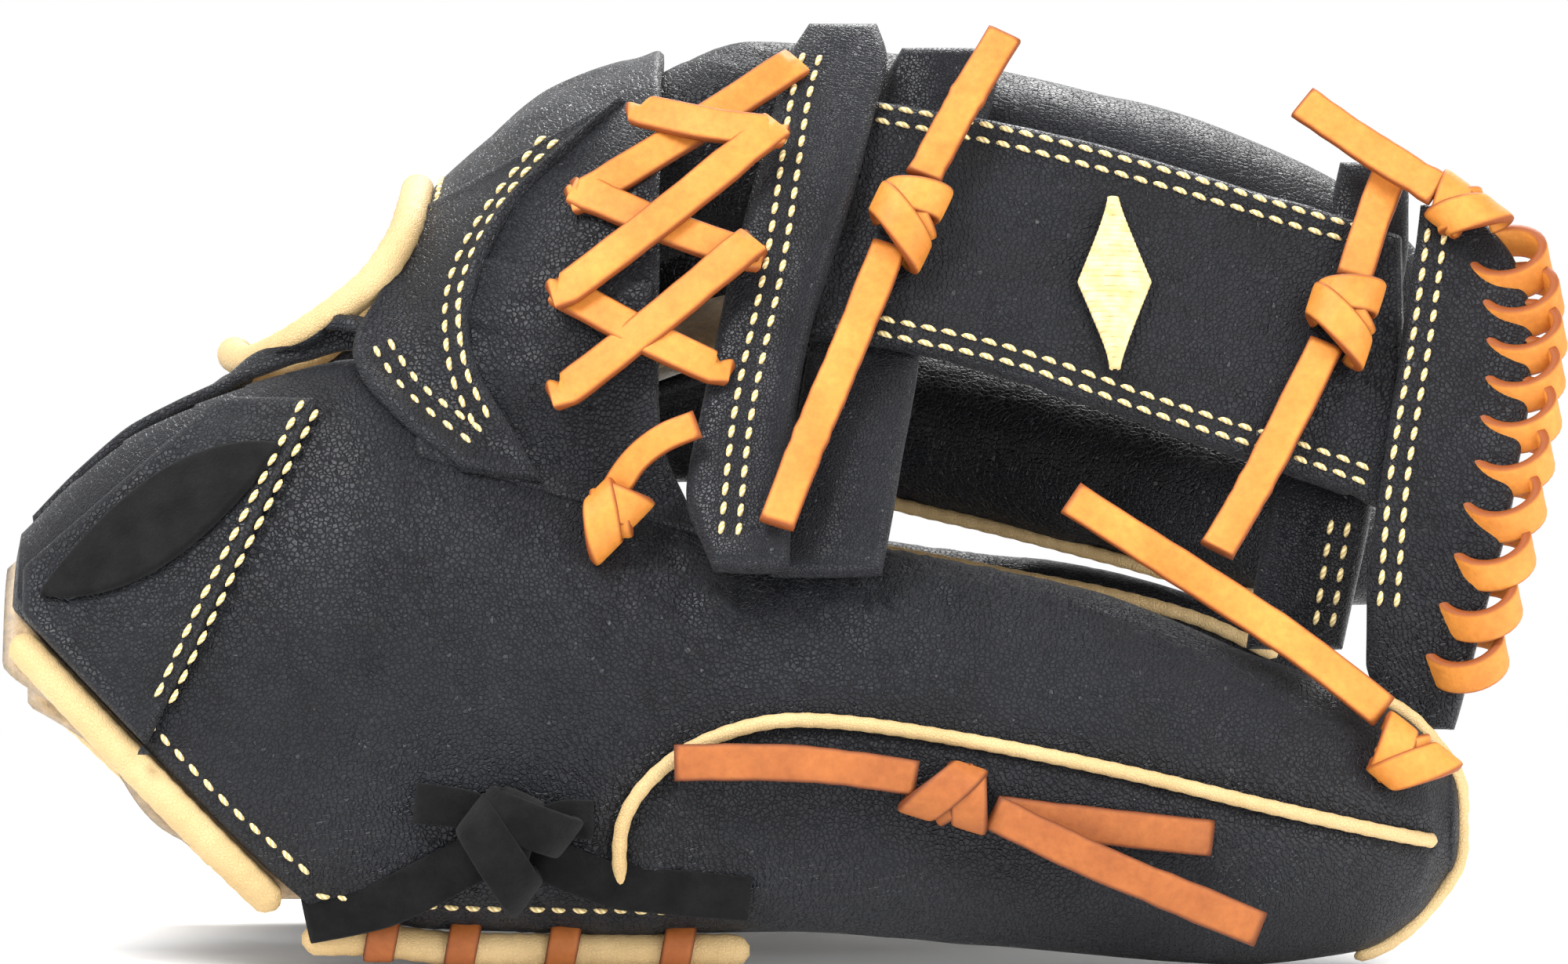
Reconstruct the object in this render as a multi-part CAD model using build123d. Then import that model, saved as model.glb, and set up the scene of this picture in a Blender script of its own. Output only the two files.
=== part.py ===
"""Fielder's glove for the left hand, standing palm down on its thumb edge, little-finger edge and heel.

+X runs from the wrist to the finger tips, -Y is the thumb side and +Z is up.
The pieces are drafted at the pattern's size and graded to the glove's size, as a glove maker's
patterns are: at() grades places, and leather, laces and cords keep their own thicknesses.
"""

import os
from math import cos, pi, radians, sin, tan

from build123d import *

# ---------------------------------------------------------------- driving dimensions, mm
GLOVE_LENGTH = 270.0  # wrist strap to web edge
GLOVE_WIDTH = 156.0  # thumb to little finger
GLOVE_HEIGHT = 166.0  # floor to the top of the web
SHELL_WALL = 3.6  # outer leather with the lining's backing, in the stalls
LEATHER = 2.4  # one layer of outer leather
LINING = 1.2  # soft inner leather
PAD = 4.0  # felt pad in the palm
LACE_WIDTH = 6.4
LACE_THICK = 2.0
WELT_DIAMETER = 2.6  # piping sewn into the finger seams
BINDING_DIAMETER = 6.0  # padded leather rolled over an edge
GAP = 0.5  # air between pieces that aren't sewn together

# The pattern that every table below is drafted at
PATTERN_LENGTH = 270.0
PATTERN_WIDTH = 156.0
PATTERN_HEIGHT = 166.0
GRADE_X = GLOVE_LENGTH / PATTERN_LENGTH
GRADE_Y = GLOVE_WIDTH / PATTERN_WIDTH
GRADE_Z = GLOVE_HEIGHT / PATTERN_HEIGHT

# Stalls, as stations along X: (x, centre y, low z, high z, half thickness, lean in degrees)
THUMB = [
    (-136, -43, 20, 74, 15, 16),
    (-113, -46, 9, 94, 19, 16),
    (-90, -49, 8, 103, 21.5, 15),
    (-75, -50.5, 8.2, 106, 22.5, 14),
    (-60, -51.5, 6.6, 100, 22.5, 13),
    (-42, -53.5, 6.3, 91.5, 21.5, 12),
    (-25, -55, 6.3, 84, 20, 10),
    (0, -56.5, 6.3, 77.5, 18.5, 9),
    (20, -57, 5.4, 73, 18, 8),
    (54, -56, 2.4, 66, 17.5, 7),
    (81, -53, 0.2, 55, 17, 6),
    (101, -49.5, 2.5, 47.5, 14, 4),
    (111, -47.5, 8.5, 41.5, 10, 3),
    (116.5, -46.5, 16, 34, 5, 2),
]
LITTLE = [
    (-136, 40, 20, 74, 15, -16),
    (-113, 44, 9, 92, 19, -16),
    (-90, 48, 8, 100, 21.5, -15),
    (-75, 50.5, 8.2, 101, 22, -14),
    (-60, 52.5, 6.6, 96, 21.5, -12),
    (-42, 55.5, 6.3, 87, 20, -10),
    (-25, 57.5, 6.9, 78, 18.5, -8),
    (0, 59, 7, 73, 17.5, -6),
    (30, 60, 3.4, 69, 17, -5),
    (60, 59.5, 0.4, 64.5, 17, -4),
    (80, 58.5, 1.2, 58.5, 15.5, -3),
    (93, 57.5, 5.5, 52, 12, -2),
    (101, 57, 13, 44, 8.5, -1),
    (105, 57, 20, 37, 4.5, 0),
]
INDEX = [
    (-26, -4, 121.2, 154.8, 16.4, 0),
    (-5, -2.5, 127.6, 161.2, 16.4, 0),
    (25, 0, 125.7, 158.9, 16.2, 0),
    (54, 2, 120.6, 153.4, 16, 0),
    (84, 4, 112.4, 143.6, 15.4, 0),
    (101, 5, 106.5, 135.5, 13, 0),
    (110, 6, 107.5, 128.5, 9.5, 0),
    (115.5, 6, 111.5, 122, 4.8, 0),
]
MIDDLE = [
    (-26, 28, 108.8, 141.2, 15.8, 0),
    (0, 30, 111.8, 144.2, 15.8, 0),
    (30, 32, 108.8, 141.2, 15.8, 0),
    (60, 34, 102, 134, 15.6, 0),
    (88, 36, 91.6, 122.4, 15, 0),
    (106, 37, 86, 112, 12.6, 0),
    (115, 37, 85.3, 103.7, 8.8, 0),
    (120, 37, 87.1, 96.9, 4.5, 0),
]
RING = [
    (-26, 49.5, 81.3, 113.7, 15.8, 0),
    (0, 52, 80.6, 113, 15.8, 0),
    (30, 54, 74.6, 107, 15.8, 0),
    (60, 55, 67, 99, 15.6, 0),
    (84, 56, 60.6, 91.4, 15, 0),
    (99, 56.5, 58.5, 84.5, 12.6, 0),
    (108, 57, 58.8, 77.2, 8.8, 0),
    (112, 57, 61.6, 71.4, 4.5, 0),
]

# Outer side of curved panels, as stations along X: (x, near end, crown, far end), each end (y, z)
HAND_BACK = [
    (-67, (-46, 107.5), (1, 131.5), (46, 104)),
    (-56, (-53, 100), (0, 141.5), (54, 101)),
    (-42, (-57.5, 95), (-2, 153), (62, 97)),
    (-22, (-60, 90), (-3, 160), (70, 89)),
]
PALM = [
    (-103, (-11, 62), (1, 66), (12, 62)),
    (-85, (-14, 70), (1, 75), (15, 70)),
    (-65, (-17, 83), (6, 91), (28, 82)),
    (-45, (-18, 91), (6, 102), (28, 91)),
    (-25, (-19, 99), (4, 107), (25, 96)),
    (-10, (-17, 104), (3, 110), (22, 100)),
]
STRAP = [
    (-134, (-26, 65.5), (0, 72), (17.5, 68.4)),
    (-124, (-29, 77.5), (0, 85), (20.5, 80.6)),
    (-113, (-31, 86.5), (0, 93.5), (22.5, 89.4)),
    (-98, (-33, 95.5), (0, 102.5), (25.5, 96.4)),
]

# Web: (z, left x, right x, y of the front)
BASE_BAR = [
    (71, -13, 1.5, -76.8),
    (84, -17.5, 1.8, -69.8),
    (98, -15, 2.8, -62.4),
    (110, -12.5, 4.8, -56),
    (124, -9.5, 9, -48.5),
    (137, -6, 13, -40.5),
    (150, -2.5, 16.4, -31),
    (160, 0.5, 18.7, -22.5),
    (165.7, 4, 17, -16.5),
]
BASE_ROLL = [
    (70, -3, 17.5, -72),
    (78, -2, 19, -68.2),
    (86, -0.6, 20.4, -64.0),
    (94, 1.2, 21.8, -59.8),
    (102, 2.6, 23.2, -53.4),
    (110, 4.2, 24.4, -44.8),
    (124, 8, 27.6, -36.1),
    (137, 11.6, 31.4, -28.1),
    (150, 15.6, 37, -20.2),
    (157, 18, 38.4, -16.8),
    (161.5, 20.5, 34, -14.8),
]
TOP_BAR = [
    (54, 81, 99, -32.5),
    (66, 82.6, 101.5, -34.2),
    (78, 84.5, 104, -34.4),
    (90, 86.6, 105.6, -31.4),
    (102, 89, 107.2, -26.4),
    (114, 91.6, 109, -21.4),
    (126, 94.8, 111.4, -16.4),
    (134, 96.8, 111.6, -12.9),
    (141, 98.4, 110.4, -9.9),
]
EDGE_BAND = [
    (40, 110.5, 118, -37),
    (52, 102.4, 121, -40.8),
    (64, 102.4, 124, -43.2),
    (76, 103.6, 127, -43.6),
    (88, 105.4, 129.4, -40.6),
    (100, 107.4, 131.4, -35.8),
    (112, 109.4, 132.2, -30.8),
    (123, 111.2, 129.6, -26),
    (133.5, 112.8, 121, -21.4),
]
BAR_THICK = 4.2  # a web bar, rolled from two layers
BAND_THICK = 3.4
POST = [  # (x, low z, low y, high z, high y) on the post's front
    (3.5, 110.5, -51.2, 153.2, -24.4),
    (20, 108.6, -51, 151.2, -25),
    (54, 98.6, -48, 144.5, -25),
    (81, 89, -44, 136.5, -22.4),
    (97, 83.4, -41.4, 131.8, -20.9),
    (110, 78.4, -39.4, 127.6, -19.4),
]
EMBLEM_WIDE = 13.0
EMBLEM_HIGH = 30.0
EMBLEM_THICK = 0.9
KNOT_RADIUS = 6.0

# Fold axes: two points on each, below the ridge of the stall that folds
THUMB_AXIS = ((-75, -40, 93), (101, -47, 35))
LITTLE_AXIS = ((-75, 42, 84), (80, 56, 50))

WRIST_CUT = {-1: ((-134, 61.5), (-86, 13.5)), 1: ((-134, 47), (-100, 13))}  # (x, z) ends of each wrist edge
STEPS = 19  # sections in each stall
MOUTH_Y, MOUTH_Z, MOUTH_END = 40.0, 60.0, -40.0  # where the hand passes from the palm into an edge stall


def at(x, y, z):
    """A pattern place, graded to the glove's size."""
    return Vector(x * GRADE_X, y * GRADE_Y, z * GRADE_Z)


def blend_row(rows, x):
    """The row of a table at x: a curve through its rows that never swings past them."""
    xs = [row[0] for row in rows]
    k = min(max(sum(1 for v in xs if v <= x) - 1, 0), len(xs) - 2)
    width = xs[k + 1] - xs[k]
    t = (x - xs[k]) / width
    if x <= xs[0] or x >= xs[-1]:
        return (x, *rows[0 if x <= xs[0] else -1][1:])
    out = [x]
    for column in range(1, len(rows[0])):
        slopes = [slope_at(rows, j, column) for j in (k, k + 1)]
        v0, v1 = rows[k][column], rows[k + 1][column]
        out.append(
            v0 * (1 + 2 * t) * (1 - t) ** 2
            + v1 * t**2 * (3 - 2 * t)
            + width * (slopes[0] * t * (1 - t) ** 2 - slopes[1] * t**2 * (1 - t))
        )
    return tuple(out)


def slope_at(rows, j, column):
    """The slope of a table's column at row j: nought at a turn, else the mean that never overshoots."""
    def rise(i):
        return (rows[i + 1][column] - rows[i][column]) / (rows[i + 1][0] - rows[i][0])

    if j == 0:
        return rise(0)
    if j == len(rows) - 1:
        return rise(j - 1)
    before, after = rise(j - 1), rise(j)
    if before * after <= 0:
        return 0.0
    w0 = 2 * (rows[j + 1][0] - rows[j][0]) + (rows[j][0] - rows[j - 1][0])
    w1 = (rows[j + 1][0] - rows[j][0]) + 2 * (rows[j][0] - rows[j - 1][0])
    return (w0 + w1) / (w0 / before + w1 / after)


def even_rows(rows, count, lead=0.0):
    """A table's rows at count places, closer together towards the tip; lead runs it out past its start."""
    x0, x1 = rows[0][0] - lead, rows[-1][0]
    return [blend_row(rows, x0 + (x1 - x0) * (1 - (1 - i / (count - 1)) ** 1.3)) for i in range(count)]


def half_height(station, inset=0.0):
    """Half of a stall oval's long axis, from its low and high points, its half thickness and its lean."""
    x, y, low, high, thick, lean = station
    reach = GRADE_Z * (high - low) / 2
    wide = thick * GRADE_Y
    return ((reach**2 - (wide * sin(radians(lean))) ** 2) ** 0.5) / cos(radians(lean)) - inset


def oval(station, inset=0.0):
    """A stall's section across X: an ellipse leaning by the station's angle, inset all round."""
    x, y, low, high, thick, lean = station
    tilt = radians(lean)
    plane = Plane(origin=at(x, y, (low + high) / 2), x_dir=(0, cos(tilt), -sin(tilt)), z_dir=(1, 0, 0))
    return plane * Ellipse(thick * GRADE_Y - inset, half_height(station, inset))


def skin(stations, x, z, side, out=0.0):
    """The place on a stall's skin at x and z, on its -Y or +Y side, moved out by a distance; pattern mm."""
    _, y, low, high, thick, lean = station = blend_row(stations, x)
    a = thick + out / GRADE_Y
    b = (half_height(station) + out) / GRADE_Z
    c, n = cos(radians(lean)), sin(radians(lean))
    up = z - (low + high) / 2
    p = (c / a) ** 2 + (n / b) ** 2
    q = 2 * up * n * c * (1 / b**2 - 1 / a**2)
    r = up**2 * ((n / a) ** 2 + (c / b) ** 2) - 1
    root = max(q * q - 4 * p * r, 0.0) ** 0.5
    return (x, y + (-q + side * root) / (2 * p), z)


def rim(stations, x, angle, out=0.0):
    """The place on a stall's oval at an angle from +Y towards +Z, moved out by a distance; pattern mm."""
    _, y, low, high, thick, lean = station = blend_row(stations, x)
    u = (thick + out / GRADE_Y) * cos(radians(angle))
    v = (half_height(station) + out) / GRADE_Z * sin(radians(angle))
    c, n = cos(radians(lean)), sin(radians(lean))
    return (x, y + u * c + v * n, (low + high) / 2 - u * n + v * c)


def stall_tube(stations, outset, inset):
    """The layer between two insets of a stall: open at the wrist end and closed at the tip."""
    outer = loft([oval(s, outset) for s in with_room(even_rows(stations, STEPS), outset)])
    roomy = with_room(even_rows(stations, STEPS, lead=3), inset + SHELL_WALL)
    return outer - loft([oval(s, inset) for s in roomy])


def inner_tube(stations, outset, inset):
    """A lining's layer between two insets of a stall: a tube open at both ends."""
    tube = with_room(even_rows(stations, STEPS, lead=3), inset + SHELL_WALL + LINING)
    return loft([oval(s, outset) for s in tube[:-1]]) - loft([oval(s, inset) for s in tube])


def with_room(stations, inset):
    """The stations whose ovals still have a core left inside the inset."""
    return [s for s in stations if min(s[4] * GRADE_Y, half_height(s)) - inset > 1.0]


def panel(stations, lift, thick):
    """A curved sheet across X: each section lies between two arcs through near end, crown and far end."""
    sections = []
    for x, near, crown, far in stations:
        ends = [at(x, *p) for p in (near, crown, far)]
        centre = arc_centre(*ends)
        rings = []
        for shift in (lift, lift - thick):
            rings.append([p + (p - centre).normalized() * shift for p in ends])
        top = ThreePointArc(*rings[0])
        low = ThreePointArc(*rings[1])
        edges = [top, Line(rings[0][2], rings[1][2]), low, Line(rings[1][0], rings[0][0])]
        sections.append(Face(Wire(edges)))
    return loft(sections)


def arc_centre(a, b, c):
    """The centre of the circle through three points that share one x."""
    ay, az, by, bz, cy, cz = a.Y, a.Z, b.Y, b.Z, c.Y, c.Z
    d = 2 * (ay * (bz - cz) + by * (cz - az) + cy * (az - bz))
    a2, b2, c2 = ay**2 + az**2, by**2 + bz**2, cy**2 + cz**2
    y = (a2 * (bz - cz) + b2 * (cz - az) + c2 * (az - bz)) / d
    z = (a2 * (cy - by) + b2 * (ay - cy) + c2 * (by - ay)) / d
    return Vector(a.X, y, z)


def upright_bar(rows, thick, behind=0.0):
    """A flat bar that climbs in Z: rectangles lofted through (z, left x, right x, front y)."""
    sections = []
    for z, left, right, front in rows:
        low, high = at(left, front, z), at(right, front, z)
        middle = Vector((low.X + high.X) / 2, low.Y + thick / 2 + behind, low.Z)
        sections.append(Plane(origin=middle) * Rectangle(high.X - low.X, thick))
    return loft(sections)


def slanted_sheet(rows, thick, behind=0.0):
    """A flat panel along X: quadrilaterals lofted through (x, low z, low y, high z, high y)."""
    sections = []
    for x, low_z, low_y, high_z, high_y in rows:
        a, b = at(x, low_y, low_z), at(x, high_y, high_z)
        normal = Vector(0, (b - a).Z, -(b - a).Y).normalized()
        near, far = normal * behind, normal * (behind + thick)
        corners = [a + near, b + near, b + far, a + far]
        sections.append(Face(Wire.make_polygon(corners, close=True)))
    return loft(sections)


def rod(points, diameter, bend=0.4):
    """A round cord: straight runs joined by tangent arcs, each arc sized by the shorter run beside it."""
    places = [at(*p) for p in points]
    path = FilletPolyline(*places, radius=corner_radii(places, bend)) if len(places) > 2 else Line(*places)
    return sweep(Plane(origin=path @ 0, z_dir=path % 0) * Circle(diameter / 2), path=path)


def corner_radii(places, share=0.45):
    """The arc radius at each inner corner: a share of the shorter run over the tangent of half the turn."""
    radii = []
    for a, b, c in zip(places, places[1:], places[2:]):
        turn = radians((b - a).get_angle(c - b))
        radii.append(share * min((b - a).length, (c - b).length) / tan(turn / 2))
    return radii


def strip(points, face, bend=0.45):
    """A flat lace along points in one plane, its width across it; face is the way its flat side looks."""
    places = [at(*p) for p in points]
    run = (places[-1] - places[0]).normalized()
    across = run.cross(Vector(*face)).normalized()
    path = FilletPolyline(*places, radius=corner_radii(places, bend)) if len(places) > 2 else Line(*places)
    start = Plane(origin=path @ 0, x_dir=across, z_dir=path % 0)
    return sweep(start * Rectangle(LACE_WIDTH, LACE_THICK), path=path)


def strap_between(a, b, face, width=LACE_WIDTH, thick=LACE_THICK):
    """One straight flat lace from a to b."""
    start, end = at(*a), at(*b)
    run = end - start
    across = run.cross(Vector(*face)).normalized()
    plane = Plane(origin=start, x_dir=across, z_dir=run.normalized())
    return extrude(plane * Rectangle(width, thick), amount=run.length)


def lace_loop(centre, along, half_across, half_deep, turn=0.0):
    """A flat lace round an edge: an oval band whose hole takes the edge; along is the edge's direction."""
    plane = Plane(origin=at(*centre), x_dir=(cos(radians(turn)), sin(radians(turn)), 0), z_dir=along)
    band = plane * (
        Ellipse(half_across + LACE_THICK, half_deep + LACE_THICK) - Ellipse(half_across, half_deep)
    )
    return extrude(band, amount=LACE_WIDTH / 2, both=True)


def knot(centre, size=KNOT_RADIUS):
    """An overhand knot drawn tight: two flat loops pulled over each other."""
    place = at(*centre)
    loops = Part()
    for spin in (20, 110):
        plane = Plane(origin=place, x_dir=(cos(radians(spin)), 0, sin(radians(spin))), z_dir=(0, -1, 0))
        ring = plane * (Ellipse(size, size * 0.62) - Ellipse(size * 0.5, size * 0.2))
        loops += extrude(ring, amount=LACE_THICK * 1.2, both=True)
    return loops


def past_wrist_edge(side):
    """Everything outside the slanted wrist edge, and past the stall's start."""
    (x0, z0), (x1, z1) = WRIST_CUT[side]
    low, high = at(x0, 0, z0), at(x1, 0, z1)
    along = (high - low).normalized()
    outward = along.cross(Vector(0, 1, 0))
    if outward.X > 0:
        outward = -outward
    size = 2 * GLOVE_LENGTH
    plane = Plane(origin=low, x_dir=(0, 1, 0), z_dir=outward)
    start = at(-136, 0, 0).X
    beyond = extrude(plane * Rectangle(size, size), amount=GLOVE_LENGTH)
    return beyond + Pos(start - size / 2, 0, 0) * Box(size, size, size)


def hand_mouth(side):
    """The upper inner corner of an edge stall near the wrist, where the hand passes into it."""
    low, high = at(-150, side * MOUTH_Y, MOUTH_Z), at(MOUTH_END, 0, 140)
    size = Vector(high.X - low.X, abs(high.Y - low.Y), high.Z - low.Z)
    centre = (low + high) / 2
    return Pos(centre.X, centre.Y, centre.Z) * Box(size.X, size.Y, size.Z)


def edge_stall(stations, side, outset, inset):
    """Thumb or little-finger shell, cut at the wrist edge and opened for the hand."""
    return stall_tube(stations, outset, inset) - past_wrist_edge(side) - hand_mouth(side)


def edge_lining(stations, side, outset, inset):
    """The lining inside an edge stall, cut as its shell is."""
    return inner_tube(stations, outset, inset) - past_wrist_edge(side) - hand_mouth(side)


def part_of(shape, low, high):
    """What a pattern box keeps of a shape."""
    a, b = at(*low), at(*high)
    size, middle = b - a, (a + b) / 2
    return shape & (Pos(middle.X, middle.Y, middle.Z) * Box(abs(size.X), abs(size.Y), abs(size.Z)))


def heel_pad(stations, side):
    """The felt pad inside an edge stall: its palm side, from the heel to the finger's root."""
    layer = SHELL_WALL + LINING + 2 * GAP
    inside = edge_lining(stations, side, layer, layer + PAD)
    return part_of(inside, (-95, side * 2, 6), (5, side * 50, 56))


def tab(stations, side, x0, x1, z0, z1, out=GAP):
    """A patch of leather laid on a stall's skin, between two x and two z, on one side."""
    rows = even_rows(stations, STEPS)[:-1]
    layer = loft([oval(s, -out - LEATHER) for s in rows]) - loft([oval(s, -out) for s in rows])
    y = stations[0][1] + side * 3
    return part_of(layer, (x0, y, z0), (x1, y + side * 60, z1))


def on_skin(stations, x, z, side, reach, out):
    """A place in front of a stall's skin, clear of it for a reach above and below; pattern mm."""
    places = [skin(stations, x, z + shift, side, out) for shift in (-reach, 0, reach)]
    y = side * max(side * p[1] for p in places)
    return (x, y, z)


def heel_loops(stations, side, xs):
    """The lace loops that close the heel, round the rolled edge, each cut off under the heel."""
    loops = Part()
    half = BINDING_DIAMETER / 2 + 0.2
    floor = at(0, 0, 0.6).Z
    for x in xs:
        place = rim(stations, x, -90, BINDING_DIAMETER / 2 + 0.1)
        loops += lace_loop((x, place[1], place[2] + 0.6), (1, 0, 0), half, half, 90)
    size = 2 * GLOVE_LENGTH
    return loops & (Pos(0, 0, floor + size / 2) * Box(size, size, size))


def wrist_binding(stations, side):
    """The padded binding along a slanted wrist edge."""
    (x0, z0), (x1, z1) = WRIST_CUT[side]
    away = (BINDING_DIAMETER / 2 + 0.2) * 0.7071
    points = []
    for share in (0.05, 0.28, 0.52, 0.76, 1.0):
        x, z = x0 + (x1 - x0) * share, z0 + (z1 - z0) * share
        _, y, _ = skin(stations, x, z, side, -SHELL_WALL / 2)
        points.append((x - away, y, z - away))
    return rod(points, BINDING_DIAMETER)


def web_front(x, z):
    """The y of the web post's front at x and z."""
    _, low_z, low_y, high_z, high_y = blend_row(POST, x)
    return low_y + (high_y - low_y) * (z - low_z) / (high_z - low_z)


def back_skin(x, z):
    """The place on the near side of the hand's back at x and z; pattern mm."""
    flat = [(row[0], *row[1], *row[2], *row[3]) for row in HAND_BACK]
    row = blend_row(flat, x)
    a, b, c = (Vector(x, row[i], row[i + 1]) for i in (1, 3, 5))
    centre = arc_centre(a, b, c)
    radius = (a - centre).length
    return (x, centre.Y - max(radius**2 - (z - centre.Z) ** 2, 0) ** 0.5, z)


WELT_OUT = WELT_DIAMETER / 2 + 0.4
KNOT_OUT = 1.2 * LACE_THICK + GAP
BIND_OUT = BINDING_DIAMETER / 2 + 0.1

parts = {}

# ---------------------------------------------------------------- thumb side
parts["thumb_stall"] = edge_stall(THUMB, -1, 0.0, SHELL_WALL)
parts["thumb_lining"] = edge_lining(THUMB, -1, SHELL_WALL + GAP, SHELL_WALL + GAP + LINING)
parts["thumb_heel_pad"] = heel_pad(THUMB, -1)
THUMB_SEAM = [
    (-28.4, 11), (-27.7, 27), (-19, 37.6), (-5.4, 43.4), (9, 44),
    (32, 40.7), (58, 35.4), (84, 29), (104, 24.2), (114, 22),
]
parts["thumb_welt"] = rod([skin(THUMB, x, z, -1, WELT_OUT) for x, z in THUMB_SEAM], WELT_DIAMETER)
tip_x = THUMB[-1][0] + WELT_OUT
parts["thumb_tip_welt"] = rod(
    [
        rim(THUMB, 102, 90, WELT_OUT), rim(THUMB, 112, 92, WELT_OUT + 0.6), (tip_x, -46.5, 33),
        (tip_x + 0.4, -46.5, 24), (tip_x, -46.5, 17), rim(THUMB, 113, -92, WELT_OUT + 0.6),
        rim(THUMB, 104, -90, WELT_OUT),
    ],
    WELT_DIAMETER,
)
HEEL_RUN = (-84, -72, -58, -40, -22, -6)
parts["thumb_heel_binding"] = rod([rim(THUMB, x, -90, BIND_OUT) for x in HEEL_RUN], BINDING_DIAMETER)
parts["thumb_heel_lace"] = heel_loops(THUMB, -1, (-70, -56, -38.5, -18.5))
parts["wrist_binding_thumb"] = wrist_binding(THUMB, -1)
parts["strap_tab"] = tab(THUMB, -1, -133, -98, 30, 100) - past_wrist_edge(-1)
parts["heel_tie"] = knot(on_skin(THUMB, -47, 24, -1, 10, KNOT_OUT), 10.5)
parts["thumb_loop_knot"] = knot(on_skin(THUMB, 29.7, 31.5, -1, 6, KNOT_OUT))
parts["thumb_loop_lace"] = strap_between(
    on_skin(THUMB, 37, 28, -1, 3, LACE_THICK), on_skin(THUMB, 74, 23.6, -1, 3, LACE_THICK), (0, -1, 0)
)
parts["thumb_tip_knot"] = knot(on_skin(THUMB, 108, 37, -1, 6, KNOT_OUT + 1))
parts["crotch_knot"] = knot(on_skin(THUMB, -30, 80, -1, 4, KNOT_OUT), 5.0)

# ---------------------------------------------------------------- little-finger side
parts["little_stall"] = edge_stall(LITTLE, 1, 0.0, SHELL_WALL)
parts["little_lining"] = edge_lining(LITTLE, 1, SHELL_WALL + GAP, SHELL_WALL + GAP + LINING)
parts["little_heel_pad"] = heel_pad(LITTLE, 1)
LITTLE_SEAM = [(-28, 12), (-26, 28), (-16, 39), (0, 44), (24, 43), (48, 39.5), (70, 36.5), (88, 34), (99, 33)]
parts["little_welt"] = rod([skin(LITTLE, x, z, 1, WELT_OUT) for x, z in LITTLE_SEAM], WELT_DIAMETER)
POCKET_SEAM = [(-12, 70), (6, 70.5), (24, 67.5), (42, 64), (60, 60.5), (76, 56), (90, 49.5)]
parts["little_pocket_welt"] = rod([skin(LITTLE, x, z, -1, WELT_OUT) for x, z in POCKET_SEAM], WELT_DIAMETER)
parts["little_heel_binding"] = rod([rim(LITTLE, x, -90, BIND_OUT) for x in HEEL_RUN], BINDING_DIAMETER)
parts["little_heel_lace"] = heel_loops(LITTLE, 1, (-70, -56, -38.5, -18.5))
parts["wrist_binding_little"] = wrist_binding(LITTLE, 1)
parts["little_loop_knot"] = knot(on_skin(LITTLE, 22, 33, 1, 6, KNOT_OUT))
parts["little_loop_lace"] = strap_between(
    on_skin(LITTLE, 29, 32, 1, 3, LACE_THICK), on_skin(LITTLE, 62, 29, 1, 3, LACE_THICK), (0, 1, 0)
)

# ---------------------------------------------------------------- hand: back, palm and the three long fingers
parts["hand_back"] = panel(HAND_BACK, 0.0, LEATHER)
parts["index_panel"] = part_of(panel(HAND_BACK, LEATHER + GAP, LEATHER), (-66, -62, 90), (-40, -13, 160))
parts["palm_leather"] = panel(PALM, 0.0, LEATHER)
parts["palm_pad"] = panel(PALM, PAD + GAP, PAD)
parts["palm_lining"] = panel(PALM, PAD + 2 * GAP + LINING, LINING)
for name, stations in (("index", INDEX), ("middle", MIDDLE), ("ring", RING)):
    parts[f"{name}_stall"] = stall_tube(stations, 0.0, SHELL_WALL)
    run = [stations[0][0] + 19 + i * 16 for i in range(7)]
    parts[f"{name}_welt"] = rod([rim(stations, x, -112, WELT_OUT) for x in run], WELT_DIAMETER)
parts["wrist_strap"] = panel(STRAP, 0.0, LEATHER)
parts["strap_lining"] = panel(STRAP, -LEATHER - GAP, LINING * 2)
parts["strap_patch"] = part_of(panel(STRAP, LEATHER + GAP, LEATHER), (-132, -27, 60), (-101, -11, 110))
parts["heel_roll"] = rod(
    [(-107.5, -10, 57), (-109.5, -4, 59.6), (-110, 1, 60.2), (-109.5, 6, 59.6), (-107.5, 11, 57)], 8.0
)
BACK_OPENING = [
    (-98.2, 1, 106.2), (-97.5, -14, 105.8), (-94, -27, 105.3), (-87, -34.5, 108.6), (-79, -38, 114),
    (-72, -37, 120),
    (-67.2, -29, 127.5), (-65.5, -15, 133), (-65.5, 2, 135), (-66.8, 18, 131.8), (-70.5, 31, 122.5),
    (-77, 38.5, 112),
    (-86, 37.5, 104.5), (-93.5, 28.5, 102), (-97, 15, 104.2), (-98.2, 2, 106.1),
]
parts["back_binding"] = rod(BACK_OPENING, BINDING_DIAMETER)

# ---------------------------------------------------------------- web and its lacing
parts["web_base_bar"] = upright_bar(BASE_BAR, BAR_THICK)
parts["web_base_roll"] = upright_bar(BASE_ROLL, BAR_THICK)
parts["web_top_bar"] = upright_bar(TOP_BAR, BAR_THICK)
parts["web_edge_band"] = upright_bar(EDGE_BAND, BAND_THICK)
parts["web_post"] = slanted_sheet(POST, LEATHER * 1.5)
emblem_x, emblem_z = 58.0, 118.5
slope = (web_front(emblem_x, emblem_z + 5) - web_front(emblem_x, emblem_z - 5)) / 10
emblem_plane = Plane(
    origin=at(emblem_x, web_front(emblem_x, emblem_z), emblem_z) + Vector(0, -1.0, 0),
    x_dir=(1, 0, 0),
    z_dir=Vector(0, -GRADE_Z, slope * GRADE_Y).normalized(),
)
half_wide, half_high = EMBLEM_WIDE / 2, EMBLEM_HIGH / 2
kite = Polyline((half_wide, 0), (0, half_high), (-half_wide, 0), (0, -half_high), close=True)
parts["web_emblem"] = extrude(emblem_plane * make_face(kite), amount=EMBLEM_THICK)

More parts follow.
